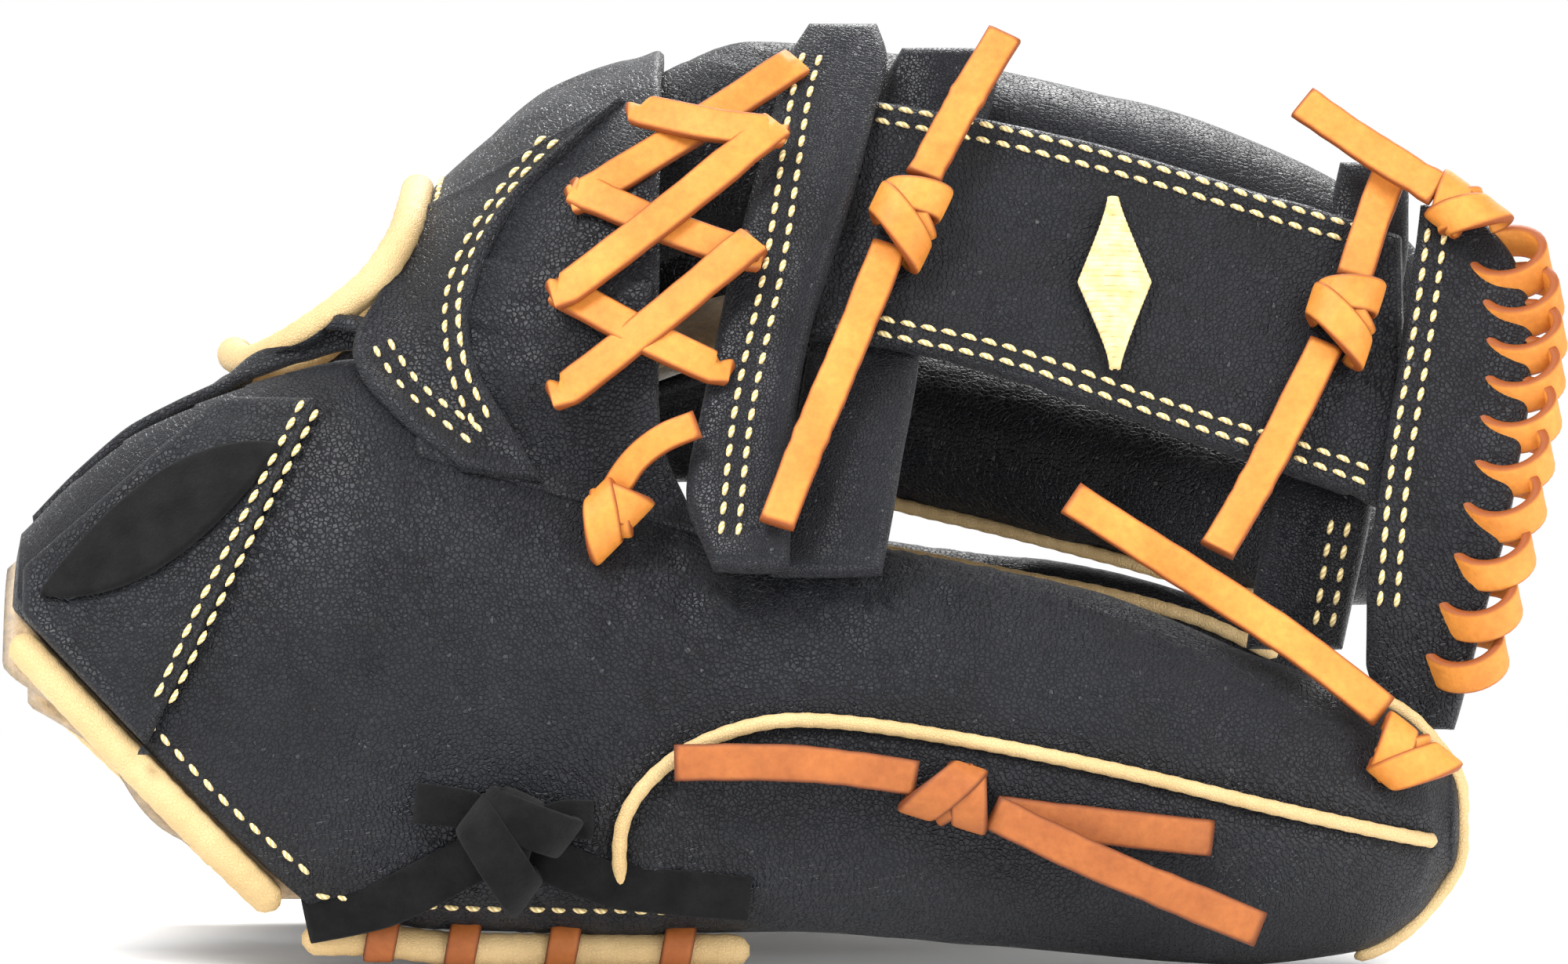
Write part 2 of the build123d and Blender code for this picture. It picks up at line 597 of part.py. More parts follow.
LEFT_HOLES = [back_skin(-25, 147), back_skin(-35.5, 134), back_skin(-38.5, 116.5), back_skin(-38.5, 99)]
RIGHT_HOLES = [(1.5, -26.5, 156), (-2, -38.5, 143.5), (-6, -51, 123.5), (-11.5, -60.5, 104)]
ZIGZAG = [(0, 1, 2.2), (1, 0, 4.8), (1, 2, 4.8), (2, 1, 2.2), (2, 3, 4.8), (3, 2, 2.2)]  # right, left, lift
parts["web_crotch_lace"] = Part() + [
    strap_between(
        tuple(a - b for a, b in zip(RIGHT_HOLES[r], (1, lift, -lift / 2))),
        tuple(a - b for a, b in zip(LEFT_HOLES[l], (-1, lift, -lift / 2))),
        (0, -1, 0.55),
    )
    for r, l, lift in ZIGZAG
]
EDGE_LOOPS = (122.5, 116, 109.5, 103, 96, 88.5, 80.5, 72, 63, 54)
loops = Part()
for z in EDGE_LOOPS:
    _, left, right, y = blend_row(EDGE_BAND, z)
    loops += lace_loop((right - 1.6, y + BAND_THICK / 2, z), (-0.2, -0.42, 0.88), 4.6, 3.6, 12)
parts["web_edge_lace"] = loops
parts["web_base_knot"] = knot((21.5, web_front(21.5, 126) - KNOT_OUT, 131.5))
parts["web_top_knot"] = knot((98.5, web_front(98.5, 108) - KNOT_OUT, 114))
parts["web_top_lace"] = strap_between(
    (100.6, web_front(100.6, 118) - 3, 120), (108, web_front(108, 124) - 6 + 9, 140), (0, -1, 0.7)
)
parts["index_tip_knot"] = knot((119.5, blend_row(EDGE_BAND, 127)[3] - KNOT_OUT, 132), 5.0)
parts["finger_tip_lace"] = Part() + [
    strap_between((106, 13, 120), (108, 29, 107), (1, 0, 0.5)),
    strap_between((105, 42, 92), (101, 51, 80), (1, 0.5, 0.5)),
]

# ---------------------------------------------------------------- free lace ends, one node each
LOOP_OUT = WELT_DIAMETER + LACE_THICK / 2 + GAP
ENDS = {
    "end_web_base_up": (
        [(24.5, -41.5, 138), (29, -35.5, 146.5), (34, -30, 155), (39, -25.5, 163)], (0, -1, 0.6)
    ),
    "end_web_base_down": (
        [(18.5, -45.5, 126), (13.2, -55, 113), (8, -64, 101), (3, -71, 89.5), (-1.3, -77.6, 78.3)], (0, -1, 0.5)
    ),
    "end_web_top_down": (
        [(95.5, -35, 108.5), (90, -41, 97.8), (84.3, -47, 87.3), (79.5, -51.5, 79), (75.6, -55, 72.9)], (0, -1, 0.5)
    ),
    "end_index_tip": (
        [(115.5, -28, 135.5), (108, -25.5, 140), (99.8, -23, 145.3), (91.8, -20.5, 151)], (0, -1, 0.4)
    ),
    "end_thumb_tip": (
        [(104.5, -61.5, 45), (92.5, -63, 54.8), (78, -63.5, 64.5), (63, -63, 74), (50, -60.5, 82.3)], (0, -1, 0.3)
    ),
    "end_thumb_loop_left": (
        [on_skin(THUMB, x, z, -1, 3, LOOP_OUT) for x, z in ((23, 34.4), (9.5, 36.6), (-5, 37.4), (-19, 37.1))],
        (0, -1, 0.1),
    ),
    "end_thumb_loop_right": (
        [on_skin(THUMB, 36, 28.6, -1, 3, LOOP_OUT), (50, -81, 21.6), (66, -81, 15), (82.4, -78.5, 8.1)],
        (0, -1, 0.1),
    ),
}
for name, (points, face) in ENDS.items():
    parts[name] = strip(points, face)
    print(name, "bend radii, mm:", [round(r) for r in corner_radii([at(*p) for p in points])])

for name, axis in (("thumb", THUMB_AXIS), ("little finger", LITTLE_AXIS)):
    print(name, "fold axis, mm:", [[round(v, 2) for v in at(*p)] for p in axis])

os.makedirs("parts", exist_ok=True)
for old in os.listdir("parts"):
    if old.endswith(".step"):
        os.remove(os.path.join("parts", old))
for name, shape in parts.items():
    export_step(shape, f"parts/{name}.step")
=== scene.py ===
"""Looks of a left-hand fielder's glove: leather, laces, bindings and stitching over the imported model.

Lengths in the tables and calls are millimetres, and a mesh is written in metres by make_mesh().
+X runs from the wrist to the finger tips, -Y is the thumb side and +Z is up.
"""

import bmesh
import bpy
import numpy as np
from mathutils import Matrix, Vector
from mathutils.bvhtree import BVHTree


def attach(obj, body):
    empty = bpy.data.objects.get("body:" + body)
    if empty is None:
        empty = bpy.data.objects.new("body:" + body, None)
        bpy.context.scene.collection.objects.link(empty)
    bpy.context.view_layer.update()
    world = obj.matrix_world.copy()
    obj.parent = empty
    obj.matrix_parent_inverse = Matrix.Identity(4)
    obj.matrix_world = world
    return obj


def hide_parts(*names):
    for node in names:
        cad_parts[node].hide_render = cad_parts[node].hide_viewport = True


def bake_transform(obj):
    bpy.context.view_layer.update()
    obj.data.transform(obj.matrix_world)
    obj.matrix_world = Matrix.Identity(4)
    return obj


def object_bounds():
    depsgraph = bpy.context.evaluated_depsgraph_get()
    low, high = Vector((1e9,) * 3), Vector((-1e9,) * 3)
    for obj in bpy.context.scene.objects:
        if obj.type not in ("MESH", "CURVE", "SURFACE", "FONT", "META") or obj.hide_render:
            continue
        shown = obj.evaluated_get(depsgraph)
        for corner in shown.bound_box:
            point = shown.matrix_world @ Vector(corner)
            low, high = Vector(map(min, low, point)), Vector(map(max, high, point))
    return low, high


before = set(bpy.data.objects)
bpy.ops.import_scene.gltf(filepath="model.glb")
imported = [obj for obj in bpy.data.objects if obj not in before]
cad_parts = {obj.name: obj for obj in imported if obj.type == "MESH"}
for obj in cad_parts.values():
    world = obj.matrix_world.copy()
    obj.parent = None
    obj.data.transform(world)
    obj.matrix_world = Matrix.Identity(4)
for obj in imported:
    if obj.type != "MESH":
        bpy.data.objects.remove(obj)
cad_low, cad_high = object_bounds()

MM = 0.001
LACE_WIDTH, LACE_THICK = 6.4, 2.0
STITCH_PITCH = 3.6
SHELL = 3.6
FLOOR = 0.7  # half of the floor's side, in metres
CAMERA_DISTANCE = 2.4  # metres from the glove's middle
CAMERA_TILT = 2.0  # degrees, looking down
FRONT_REACH = 0.05  # the plane that fills the frame, in metres in front of the middle
FRAME_WIDTH = 0.2745  # metres of that plane seen across the frame
SENSOR_WIDTH = 36

# Stalls as stations along X: (x, centre y, low z, high z, half thickness, lean in degrees)
THUMB = [
    (-136, -43, 20, 74, 15, 16), (-113, -46, 9, 94, 19, 16), (-90, -49, 8, 103, 21.5, 15),
    (-75, -50.5, 8.2, 106, 22.5, 14), (-60, -51.5, 6.6, 100, 22.5, 13), (-42, -53.5, 6.3, 91.5, 21.5, 12),
    (-25, -55, 6.3, 84, 20, 10), (0, -56.5, 6.3, 77.5, 18.5, 9), (20, -57, 5.4, 73, 18, 8),
    (54, -56, 2.4, 66, 17.5, 7), (81, -53, 0.2, 55, 17, 6), (101, -49.5, 2.5, 47.5, 14, 4),
    (111, -47.5, 8.5, 41.5, 10, 3), (116.5, -46.5, 16, 34, 5, 2),
]
LITTLE = [
    (-136, 40, 20, 74, 15, -16), (-113, 44, 9, 92, 19, -16), (-90, 48, 8, 100, 21.5, -15),
    (-75, 50.5, 8.2, 101, 22, -14), (-60, 52.5, 6.6, 96, 21.5, -12), (-42, 55.5, 6.3, 87, 20, -10),
    (-25, 57.5, 6.9, 78, 18.5, -8), (0, 59, 7, 73, 17.5, -6), (30, 60, 3.4, 69, 17, -5),
    (60, 59.5, 0.4, 64.5, 17, -4), (80, 58.5, 1.2, 58.5, 15.5, -3), (93, 57.5, 5.5, 52, 12, -2),
    (101, 57, 13, 44, 8.5, -1), (105, 57, 20, 37, 4.5, 0),
]
INDEX = [
    (-26, -4, 121.2, 154.8, 16.4, 0), (-5, -2.5, 127.6, 161.2, 16.4, 0), (25, 0, 125.7, 158.9, 16.2, 0),
    (54, 2, 120.6, 153.4, 16, 0), (84, 4, 112.4, 143.6, 15.4, 0), (101, 5, 106.5, 135.5, 13, 0),
    (110, 6, 107.5, 128.5, 9.5, 0), (115.5, 6, 111.5, 122, 4.8, 0),
]
MIDDLE = [
    (-26, 28, 108.8, 141.2, 15.8, 0), (0, 30, 111.8, 144.2, 15.8, 0), (30, 32, 108.8, 141.2, 15.8, 0),
    (60, 34, 102, 134, 15.6, 0), (88, 36, 91.6, 122.4, 15, 0), (106, 37, 86, 112, 12.6, 0),
    (115, 37, 85.3, 103.7, 8.8, 0), (120, 37, 87.1, 96.9, 4.5, 0),
]
RING = [
    (-26, 49.5, 81.3, 113.7, 15.8, 0), (0, 52, 80.6, 113, 15.8, 0), (30, 54, 74.6, 107, 15.8, 0),
    (60, 55, 67, 99, 15.6, 0), (84, 56, 60.6, 91.4, 15, 0), (99, 56.5, 58.5, 84.5, 12.6, 0),
    (108, 57, 58.8, 77.2, 8.8, 0), (112, 57, 61.6, 71.4, 4.5, 0),
]
# Curved panels across X: (x, near y, near z, crown y, crown z, far y, far z)
HAND_BACK = [
    (-67, -46, 107.5, 1, 131.5, 46, 104), (-56, -53, 100, 0, 141.5, 54, 101),
    (-42, -57.5, 95, -2, 153, 62, 97), (-22, -60, 90, -3, 160, 70, 89),
]
PALM = [
    (-103, -11, 62, 1, 66, 12, 62), (-85, -14, 70, 1, 75, 15, 70), (-65, -17, 83, 6, 91, 28, 82),
    (-45, -18, 91, 6, 102, 28, 91), (-25, -19, 99, 4, 107, 25, 96), (-10, -17, 104, 3, 110, 22, 100),
]
STRAP = [
    (-134, -26, 65.5, 0, 72, 17.5, 68.4), (-124, -29, 77.5, 0, 85, 20.5, 80.6),
    (-113, -31, 86.5, 0, 93.5, 22.5, 89.4), (-98, -33, 95.5, 0, 102.5, 25.5, 96.4),
]
# Upright web bars: (z, left x, right x, y of the front)
BASE_BAR = [
    (71, -13, 1.5, -76.8), (84, -17.5, 1.8, -69.8), (98, -15, 2.8, -62.4), (110, -12.5, 4.8, -56),
    (124, -9.5, 9, -48.5), (137, -6, 13, -40.5), (150, -2.5, 16.4, -31), (160, 0.5, 18.7, -22.5),
    (165.7, 4, 17, -16.5),
]
BASE_ROLL = [
    (70, -3, 17.5, -72), (78, -2, 19, -68.2), (86, -0.6, 20.4, -64), (94, 1.2, 21.8, -59.8),
    (102, 2.6, 23.2, -53.4), (110, 4.2, 24.4, -44.8), (124, 8, 27.6, -36.1), (137, 11.6, 31.4, -28.1),
    (150, 15.6, 37, -20.2), (157, 18, 38.4, -16.8), (161.5, 20.5, 34, -14.8),
]
TOP_BAR = [
    (54, 81, 99, -32.5), (66, 82.6, 101.5, -34.2), (78, 84.5, 104, -34.4), (90, 86.6, 105.6, -31.4),
    (102, 89, 107.2, -26.4), (114, 91.6, 109, -21.4), (126, 94.8, 111.4, -16.4), (134, 96.8, 111.6, -12.9),
    (141, 98.4, 110.4, -9.9),
]
EDGE_BAND = [
    (40, 110.5, 118, -37), (52, 102.4, 121, -40.8), (64, 102.4, 124, -43.2), (76, 103.6, 127, -43.6),
    (88, 105.4, 129.4, -40.6), (100, 107.4, 131.4, -35.8), (112, 109.4, 132.2, -30.8),
    (123, 111.2, 129.6, -26), (133.5, 112.8, 121, -21.4),
]
# The web's post: (x, low z, low y, high z, high y) on its front
POST = [
    (3.5, 110.5, -51.2, 153.2, -24.4), (20, 108.6, -51, 151.2, -25), (54, 98.6, -48, 144.5, -25),
    (81, 89, -44, 136.5, -22.4), (97, 83.4, -41.4, 131.8, -20.9), (110, 78.4, -39.4, 127.6, -19.4),
]


# ---------------------------------------------------------------- curves and surfaces as whole arrays
def curve_rows(rows, x):
    """Every column of a table at x: cubic pieces whose slope at a row is the weighted harmonic mean of the
    slopes beside it, and nought at a turn, so the curve never swings past its rows."""
    table = np.asarray(rows, float)
    xs, v = table[:, 0], table[:, 1:]
    width = np.diff(xs)[:, None]
    rise = np.diff(v, axis=0) / width
    slope = np.zeros_like(v)
    slope[0], slope[-1] = rise[0], rise[-1]
    if len(xs) > 2:
        w0, w1 = 2 * width[1:] + width[:-1], width[1:] + 2 * width[:-1]
        same = rise[:-1] * rise[1:] > 0
        before, after = np.where(same, rise[:-1], 1), np.where(same, rise[1:], 1)
        slope[1:-1] = np.where(same, (w0 + w1) / (w0 / before + w1 / after), 0)
    q = np.clip(np.asarray(x, float), xs[0], xs[-1])
    k = np.clip(np.searchsorted(xs, q, "right") - 1, 0, len(xs) - 2)
    run = (xs[k + 1] - xs[k])[..., None]
    t = (q - xs[k])[..., None] / run
    ends = v[k] * (1 + 2 * t) * (1 - t) ** 2 + v[k + 1] * t**2 * (3 - 2 * t)
    return ends + run * (slope[k] * t * (1 - t) ** 2 - slope[k + 1] * t**2 * (1 - t))


def oval(rows, x, angle, out=0.0, share=1.0):
    """A stall's skin at x: the station's ellipse leaned by its angle, read at an angle from +Y to +Z."""
    y, low, high, thick, lean = np.moveaxis(curve_rows(rows, x), -1, 0)
    tilt = np.radians(lean)
    half = np.sqrt(((high - low) / 2) ** 2 - (thick * np.sin(tilt)) ** 2) / np.cos(tilt)
    u = (thick + out) * share * np.cos(angle)
    v = (half + out) * share * np.sin(angle)
    across = y + u * np.cos(tilt) + v * np.sin(tilt)
    up = (low + high) / 2 - u * np.sin(tilt) + v * np.cos(tilt)
    return np.stack(np.broadcast_arrays(x, across, up), -1)


def skin(rows, x, z, side, out=0.0):
    """The place on a stall's skin at x and z on its -Y or +Y side: the ellipse solved for y."""
    x, z = np.asarray(x, float), np.asarray(z, float)
    y, low, high, thick, lean = np.moveaxis(curve_rows(rows, x), -1, 0)
    tilt = np.radians(lean)
    half = np.sqrt(((high - low) / 2) ** 2 - (thick * np.sin(tilt)) ** 2) / np.cos(tilt)
    a, b, c, n = thick + out, half + out, np.cos(tilt), np.sin(tilt)
    up = z - (low + high) / 2
    p = (c / a) ** 2 + (n / b) ** 2
    q = 2 * up * n * c * (1 / b**2 - 1 / a**2)
    r = up**2 * ((n / a) ** 2 + (c / b) ** 2) - 1
    root = np.sqrt(np.maximum(q * q - 4 * p * r, 0))
    return np.stack([x, y + (-q + side * root) / (2 * p), z], -1)


def arch(rows, x, share, lift=0.0):
    """A curved panel: at x, the circle through near end, crown and far end, read at a share of its arc."""
    x, share = np.broadcast_arrays(np.asarray(x, float), np.asarray(share, float))
    ay, az, by, bz, cy, cz = np.moveaxis(curve_rows(rows, x), -1, 0)
    d = 2 * (ay * (bz - cz) + by * (cz - az) + cy * (az - bz))
    a2, b2, c2 = ay**2 + az**2, by**2 + bz**2, cy**2 + cz**2
    y = (a2 * (bz - cz) + b2 * (cz - az) + c2 * (az - bz)) / d
    z = (a2 * (cy - by) + b2 * (ay - cy) + c2 * (by - ay)) / d
    start, end = np.arctan2(az - z, ay - y), np.arctan2(cz - z, cy - y)
    start = np.where(start < -np.pi / 2, start + 2 * np.pi, start)
    turn = start + (end - start) * share
    radius = np.hypot(ay - y, az - z) + lift
    return np.stack([x, y + radius * np.cos(turn), z + radius * np.sin(turn)], -1)


def upright(rows, z, share, lift=0.0):
    """An upright bar's front: at z, from its left x to its right x, lifted towards -Y."""
    z, share = np.broadcast_arrays(np.asarray(z, float), np.asarray(share, float))
    left, right, y = np.moveaxis(curve_rows(rows, z), -1, 0)
    return np.stack([left + (right - left) * share, y - lift, z], -1)


def post_front(x, share, lift=0.0):
    """The web post's front: at x, from its low edge to its high edge, lifted along its slope's normal."""
    x, share = np.broadcast_arrays(np.asarray(x, float), np.asarray(share, float))
    low_z, low_y, high_z, high_y = np.moveaxis(curve_rows(POST, x), -1, 0)
    dz, dy = high_z - low_z, high_y - low_y
    size = np.hypot(dz, dy)
    return np.stack([x, low_y + dy * share - lift * dz / size, low_z + dz * share + lift * dy / size], -1)


def even(count, crowd=0.0):
    """Shares from 0 to 1, crowded towards both ends by a cosine."""
    s = np.linspace(0, 1, count)
    return (1 - crowd) * s + crowd * (0.5 - 0.5 * np.cos(np.pi * s))


def smooth_line(points, step=1.0):
    """A smooth line through points: Catmull-Rom pieces, read about every step."""
    p = np.asarray(points, float)
    if len(p) == 2:
        count = max(int(np.linalg.norm(p[1] - p[0]) / step), 2)
        return p[0] + (p[1] - p[0]) * np.linspace(0, 1, count)[:, None]
    p = np.vstack([2 * p[0] - p[1], p, 2 * p[-1] - p[-2]])
    spans = []
    for a, b, c, d in zip(p, p[1:], p[2:], p[3:]):
        t = np.linspace(0, 1, max(int(np.linalg.norm(c - b) / step), 3), endpoint=False)[:, None]
        curve = 2 * b + (c - a) * t + (2 * a - 5 * b + 4 * c - d) * t**2 + (3 * b - a - 3 * c + d) * t**3
        spans.append(0.5 * curve)
    return np.vstack([*spans, p[-2:-1]])


def lengths(line):
    """Distance along a line at each of its points."""
    return np.concatenate([[0], np.cumsum(np.linalg.norm(np.diff(line, axis=0), axis=1))])


def unit(v):
    """Vectors of length one."""
    return v / np.maximum(np.linalg.norm(v, axis=-1, keepdims=True), 1e-9)


def directions(line):
    """A line's direction at each of its points."""
    return unit(np.gradient(line, axis=0))


def ripple(a, b, seed, count=7, low=0.05, high=0.3):
    """Soft creases over two coordinates: a mean of sines along random directions, each bent by the one
    before, between about -1 and 1."""
    draw = np.random.default_rng(seed)
    total, bend = np.zeros(np.broadcast(a, b).shape), 0.0
    for _ in range(count):
        angle, pitch, phase = draw.uniform(0, np.pi), draw.uniform(low, high), draw.uniform(0, 6.28)
        wave = np.sin((a * np.cos(angle) + b * np.sin(angle)) * pitch * 2 + phase + 1.3 * bend)
        total, bend = total + wave, wave
    return total / count**0.5 * 0.8


def bump(x, z, at_x, at_z, wide, high):
    """A round patch of influence: a bell over x and z."""
    return np.exp(-(((x - at_x) / wide) ** 2) - ((z - at_z) / high) ** 2)


# ---------------------------------------------------------------- meshes
def make_mesh(name, points, quads, material, edge=None, uv=None, join=True):
    """A piece from points in millimetres and four-sided faces, doubles merged and faces turned out."""
    mesh = bpy.data.meshes.new(name)
    points = np.asarray(points, float).reshape(-1, 3) * MM
    quads = np.asarray(quads, np.int32).reshape(-1, 4)
    mesh.vertices.add(len(points))
    mesh.vertices.foreach_set("co", points.astype(np.float32).ravel())
    mesh.loops.add(quads.size)
    mesh.loops.foreach_set("vertex_index", quads.ravel())
    mesh.polygons.add(len(quads))
    mesh.polygons.foreach_set("loop_start", np.arange(0, quads.size, 4, dtype=np.int32))
    if edge is not None:
        mesh.attributes.new("edge", "FLOAT", "POINT").data.foreach_set("value",
            np.asarray(edge, np.float32).ravel())
    if uv is not None:
        layer = mesh.uv_layers.new(name="run")
        layer.data.foreach_set("uv", np.asarray(uv, np.float32).reshape(-1, 2)[quads.ravel()].ravel())
    mesh.update(calc_edges=True)
    mesh.validate()
    if join:
        work = bmesh.new()
        work.from_mesh(mesh)
        bmesh.ops.remove_doubles(work, verts=work.verts, dist=1e-6)
        bmesh.ops.dissolve_degenerate(work, dist=1e-7, edges=work.edges)
        bmesh.ops.recalc_face_normals(work, faces=work.faces)
        work.to_mesh(mesh)
        work.free()
    mesh.polygons.foreach_set("use_smooth", np.ones(len(mesh.polygons), bool))
    mesh.materials.append(material)
    piece = bpy.data.objects.new(name, mesh)
    bpy.context.scene.collection.objects.link(piece)
    return piece


def grid_quads(rows, columns, closed=False):
    """The four-sided faces of a grid; a closed grid's last column meets its first."""
    i, j = np.arange(rows - 1)[:, None], np.arange(columns if closed else columns - 1)[None]
    a, b = i * columns + j, i * columns + (j + 1) % columns
    return np.stack([a, b, b + columns, a + columns], -1).reshape(-1, 4)


def grid_normals(grid, closed=False):
    """A grid's normals: the cross product of its two slopes."""
    if closed:
        padded = np.concatenate([grid[:, -1:], grid, grid[:, :1]], 1)
        across = np.gradient(padded, axis=1)[:, 1:-1]
    else:
        across = np.gradient(grid, axis=1)
    return unit(np.cross(np.gradient(grid, axis=0), across))


def border_distance(grid, closed=False):
    """How far each point of a grid is from the grid's border, along its rows and columns."""
    down = np.concatenate([np.zeros((1, grid.shape[1])),
        np.cumsum(np.linalg.norm(np.diff(grid, axis=0), axis=2), 0)])
    near = np.minimum(down, down[-1] - down)
    if closed:
        return near
    side = np.concatenate([np.zeros((grid.shape[0], 1)),
        np.cumsum(np.linalg.norm(np.diff(grid, axis=1), axis=2), 1)], 1)
    return np.minimum(near, np.minimum(side, side[:, -1:] - side))


def slab(name, grid, thick, material, closed=False, gone=None, bead=0.0, round_over=None, flip=False):
    """A sheet of leather: its front lies on the grid, its back one thickness behind, and the two meet round
    every border on a quarter ellipse; bead rolls the border into a thicker edge; gone drops part of it."""
    normal = grid_normals(grid, closed) * (-1 if flip else 1)
    away = border_distance(grid, closed)
    if gone is not None:
        away = np.where(gone, 0, away)
    reach = round_over or thick / 2
    swell = 1 + bead * np.exp(-(((away - 1.6 * reach) / (1.6 * reach)) ** 2))
    half = thick / 2 * swell * np.sqrt(1 - np.clip(1 - away / reach, 0, 1) ** 2)
    middle = grid - normal * thick / 2
    front, back = middle + normal * half[..., None], middle - normal * np.minimum(half,
        thick / 2)[..., None]
    rows, columns = grid.shape[:2]
    quads = grid_quads(rows, columns, closed)
    if gone is not None:
        quads = quads[~gone.ravel()[quads].all(1)]
    edge = np.exp(-away / 1.3).ravel()
    points = np.vstack([front.reshape(-1, 3), back.reshape(-1, 3)])
    both = np.vstack([quads, quads[:, ::-1] + rows * columns])
    return make_mesh(name, points, both, material, np.concatenate([edge, edge]))


def frames_along(line, face):
    """Side and normal vectors along a line: the side is square to the line and to the way its face looks."""
    ahead = directions(line)
    side = unit(np.cross(ahead, np.broadcast_to(np.asarray(face, float), line.shape)))
    return ahead, side, unit(np.cross(side, ahead))


def sweep_section(line, side, normal, section, scale=None):
    """A profile carried along a line: each point of the section is laid off on the side and the normal."""
    s = np.ones(len(line)) if scale is None else scale
    a = section[None, :, 0, None] * side[:, None] * s[:, None, None]
    return line[:, None] + a + section[None, :, 1, None] * normal[:, None] * s[:, None, None]


def capped(name, rings, material, edge_section=None):
    """A closed tube through rings of points, each end closed to its middle."""
    first, last = rings[0].mean(0), rings[-1].mean(0)
    ends = [np.broadcast_to(first, rings[0].shape), *rings, np.broadcast_to(last, rings[0].shape)]
    grid = np.stack(ends)
    run = np.linspace(0, 1, len(grid))[:, None] * np.ones(grid.shape[1])
    turn = np.ones(len(grid))[:, None] * np.linspace(0, 1, grid.shape[1])
    edge = None
    if edge_section is not None:
        edge = np.tile(edge_section, (len(grid), 1))
        edge[:2], edge[-2:] = 1, 1
    return make_mesh(
        name, grid, grid_quads(*grid.shape[:2], closed=True), material, edge, np.stack([turn, run], -1)
    )


def lace_section(width=LACE_WIDTH, thick=LACE_THICK, count=20):
    """A flat lace's profile: a superellipse of power 5 across its width and thickness."""
    turn = np.linspace(0, 2 * np.pi, count, endpoint=False)
    c, s = np.cos(turn), np.sin(turn)
    return np.stack([np.sign(c) * np.abs(c) ** 0.4 * width / 2,
        np.sign(s) * np.abs(s) ** 0.4 * thick / 2], 1)


def ribbon_rings(line, face, width=LACE_WIDTH, thick=LACE_THICK, seed=1):
    """A flat lace along a line, its edges a little ragged."""
    _, side, normal = frames_along(line, face)
    section = lace_section(width, thick)
    draw = np.random.default_rng(seed)
    ragged = 1 + 0.02 * np.interp(np.arange(len(line)), np.arange(0, len(line) + 4, 3),
        draw.normal(0, 1, len(np.arange(0, len(line) + 4, 3))))
    return sweep_section(line, side, normal, section, ragged)


def ribbon(name, line, face, material, width=LACE_WIDTH, thick=LACE_THICK, seed=1):
    """One flat lace as a piece."""
    section = lace_section(width, thick)
    worn = np.clip((np.abs(section[:, 0]) / (width / 2) - 0.72) / 0.28, 0, 1)
    return capped(name, ribbon_rings(line, face, width, thick, seed), material, worn)


def several(name, parts, material):
    """Several closed runs of rings as one piece."""
    points, quads, edges, count = [], [], [], 0
    for rings, worn in parts:
        ends = [np.broadcast_to(rings[0].mean(0), rings[0].shape), *rings,
            np.broadcast_to(rings[-1].mean(0), rings[0].shape)]
        grid = np.stack(ends)
        points.append(grid.reshape(-1, 3))
        quads.append(grid_quads(*grid.shape[:2], closed=True) + count)
        edges.append(np.tile(worn, len(grid)))
        count += len(points[-1])
    return make_mesh(name, np.vstack(points), np.vstack(quads), material, np.concatenate(edges))


def flat(line, face, width=LACE_WIDTH, thick=LACE_THICK, seed=1):
    """Rings and edge wear of one flat lace, for several()."""
    section = lace_section(width, thick)
    worn = np.clip((np.abs(section[:, 0]) / (width / 2) - 0.72) / 0.28, 0, 1)
    return ribbon_rings(line, face, width, thick, seed), worn


def roll(name, line, diameter, material, face=(0, 0, 1), pucker=0.0):
    """A round cord or rolled edge along a line; pucker pinches it once a stitch."""
    _, side, normal = frames_along(line, face)
    turn = np.linspace(0, 2 * np.pi, 16, endpoint=False)
    section = np.stack([np.cos(turn) * diameter / 2, np.sin(turn) * diameter / 2], 1)
    pinch = 1 - pucker * (0.5 + 0.5 * np.cos(2 * np.pi * lengths(line) / STITCH_PITCH))
    ends = np.minimum(lengths(line), lengths(line)[-1] - lengths(line))
    pinch = pinch * np.sqrt(1 - np.clip(1 - ends / (diameter / 2), 0, 0.95) ** 2)
    return capped(name, sweep_section(line, side, normal, section, pinch), material)


def wrap(centre, axis, out, across, deep, width=LACE_WIDTH, skew=0.0, sweep=(-50, 230), thick=LACE_THICK):
    """A lace pulled round a strand: an arc of an ellipse about the strand's axis, slid along it by skew."""
    turn = np.radians(np.linspace(*sweep, 34))[:, None]
    axis, out = unit(np.asarray(axis, float)), unit(np.asarray(out, float))
    side = unit(np.cross(axis, out))
    out = np.cross(side, axis)
    slide = axis * skew * np.cos(turn)
    line = np.asarray(centre, float) + side * across * np.cos(turn) + out * deep * np.sin(turn) + slide
    face = unit(side * np.cos(turn) / across + out * np.sin(turn) / deep)
    _, lay, normal = frames_along(line, face)
    section = lace_section(width, thick)
    worn = np.clip((np.abs(section[:, 0]) / (width / 2) - 0.72) / 0.28, 0, 1)
    return sweep_section(line, lay, normal, section), worn


def tight_knot(name, centre, axis, out, material, size=6.0, thick=LACE_THICK):
    """An overhand knot drawn tight: three laces pulled round the strand, crossing each other."""
    a = unit(np.asarray(axis, float))
    middle = np.asarray(centre, float)
    n = unit(np.asarray(out, float))
    half = size * 0.62
    return several(name, [
        wrap(middle + a * 0.42 * size, a, n, size * 0.78, half, skew=1.5, thick=thick),
        wrap(middle - a * 0.42 * size, a, n, size * 0.86, half * 1.12, skew=-3.4, thick=thick),
        wrap(middle - n * 0.6, np.cross(a, n) + a * 0.9, n, size * 0.72, half * 0.9, skew=0.8, thick=thick),
    ], material)


# ---------------------------------------------------------------- laying things on pieces already made
trees = {}


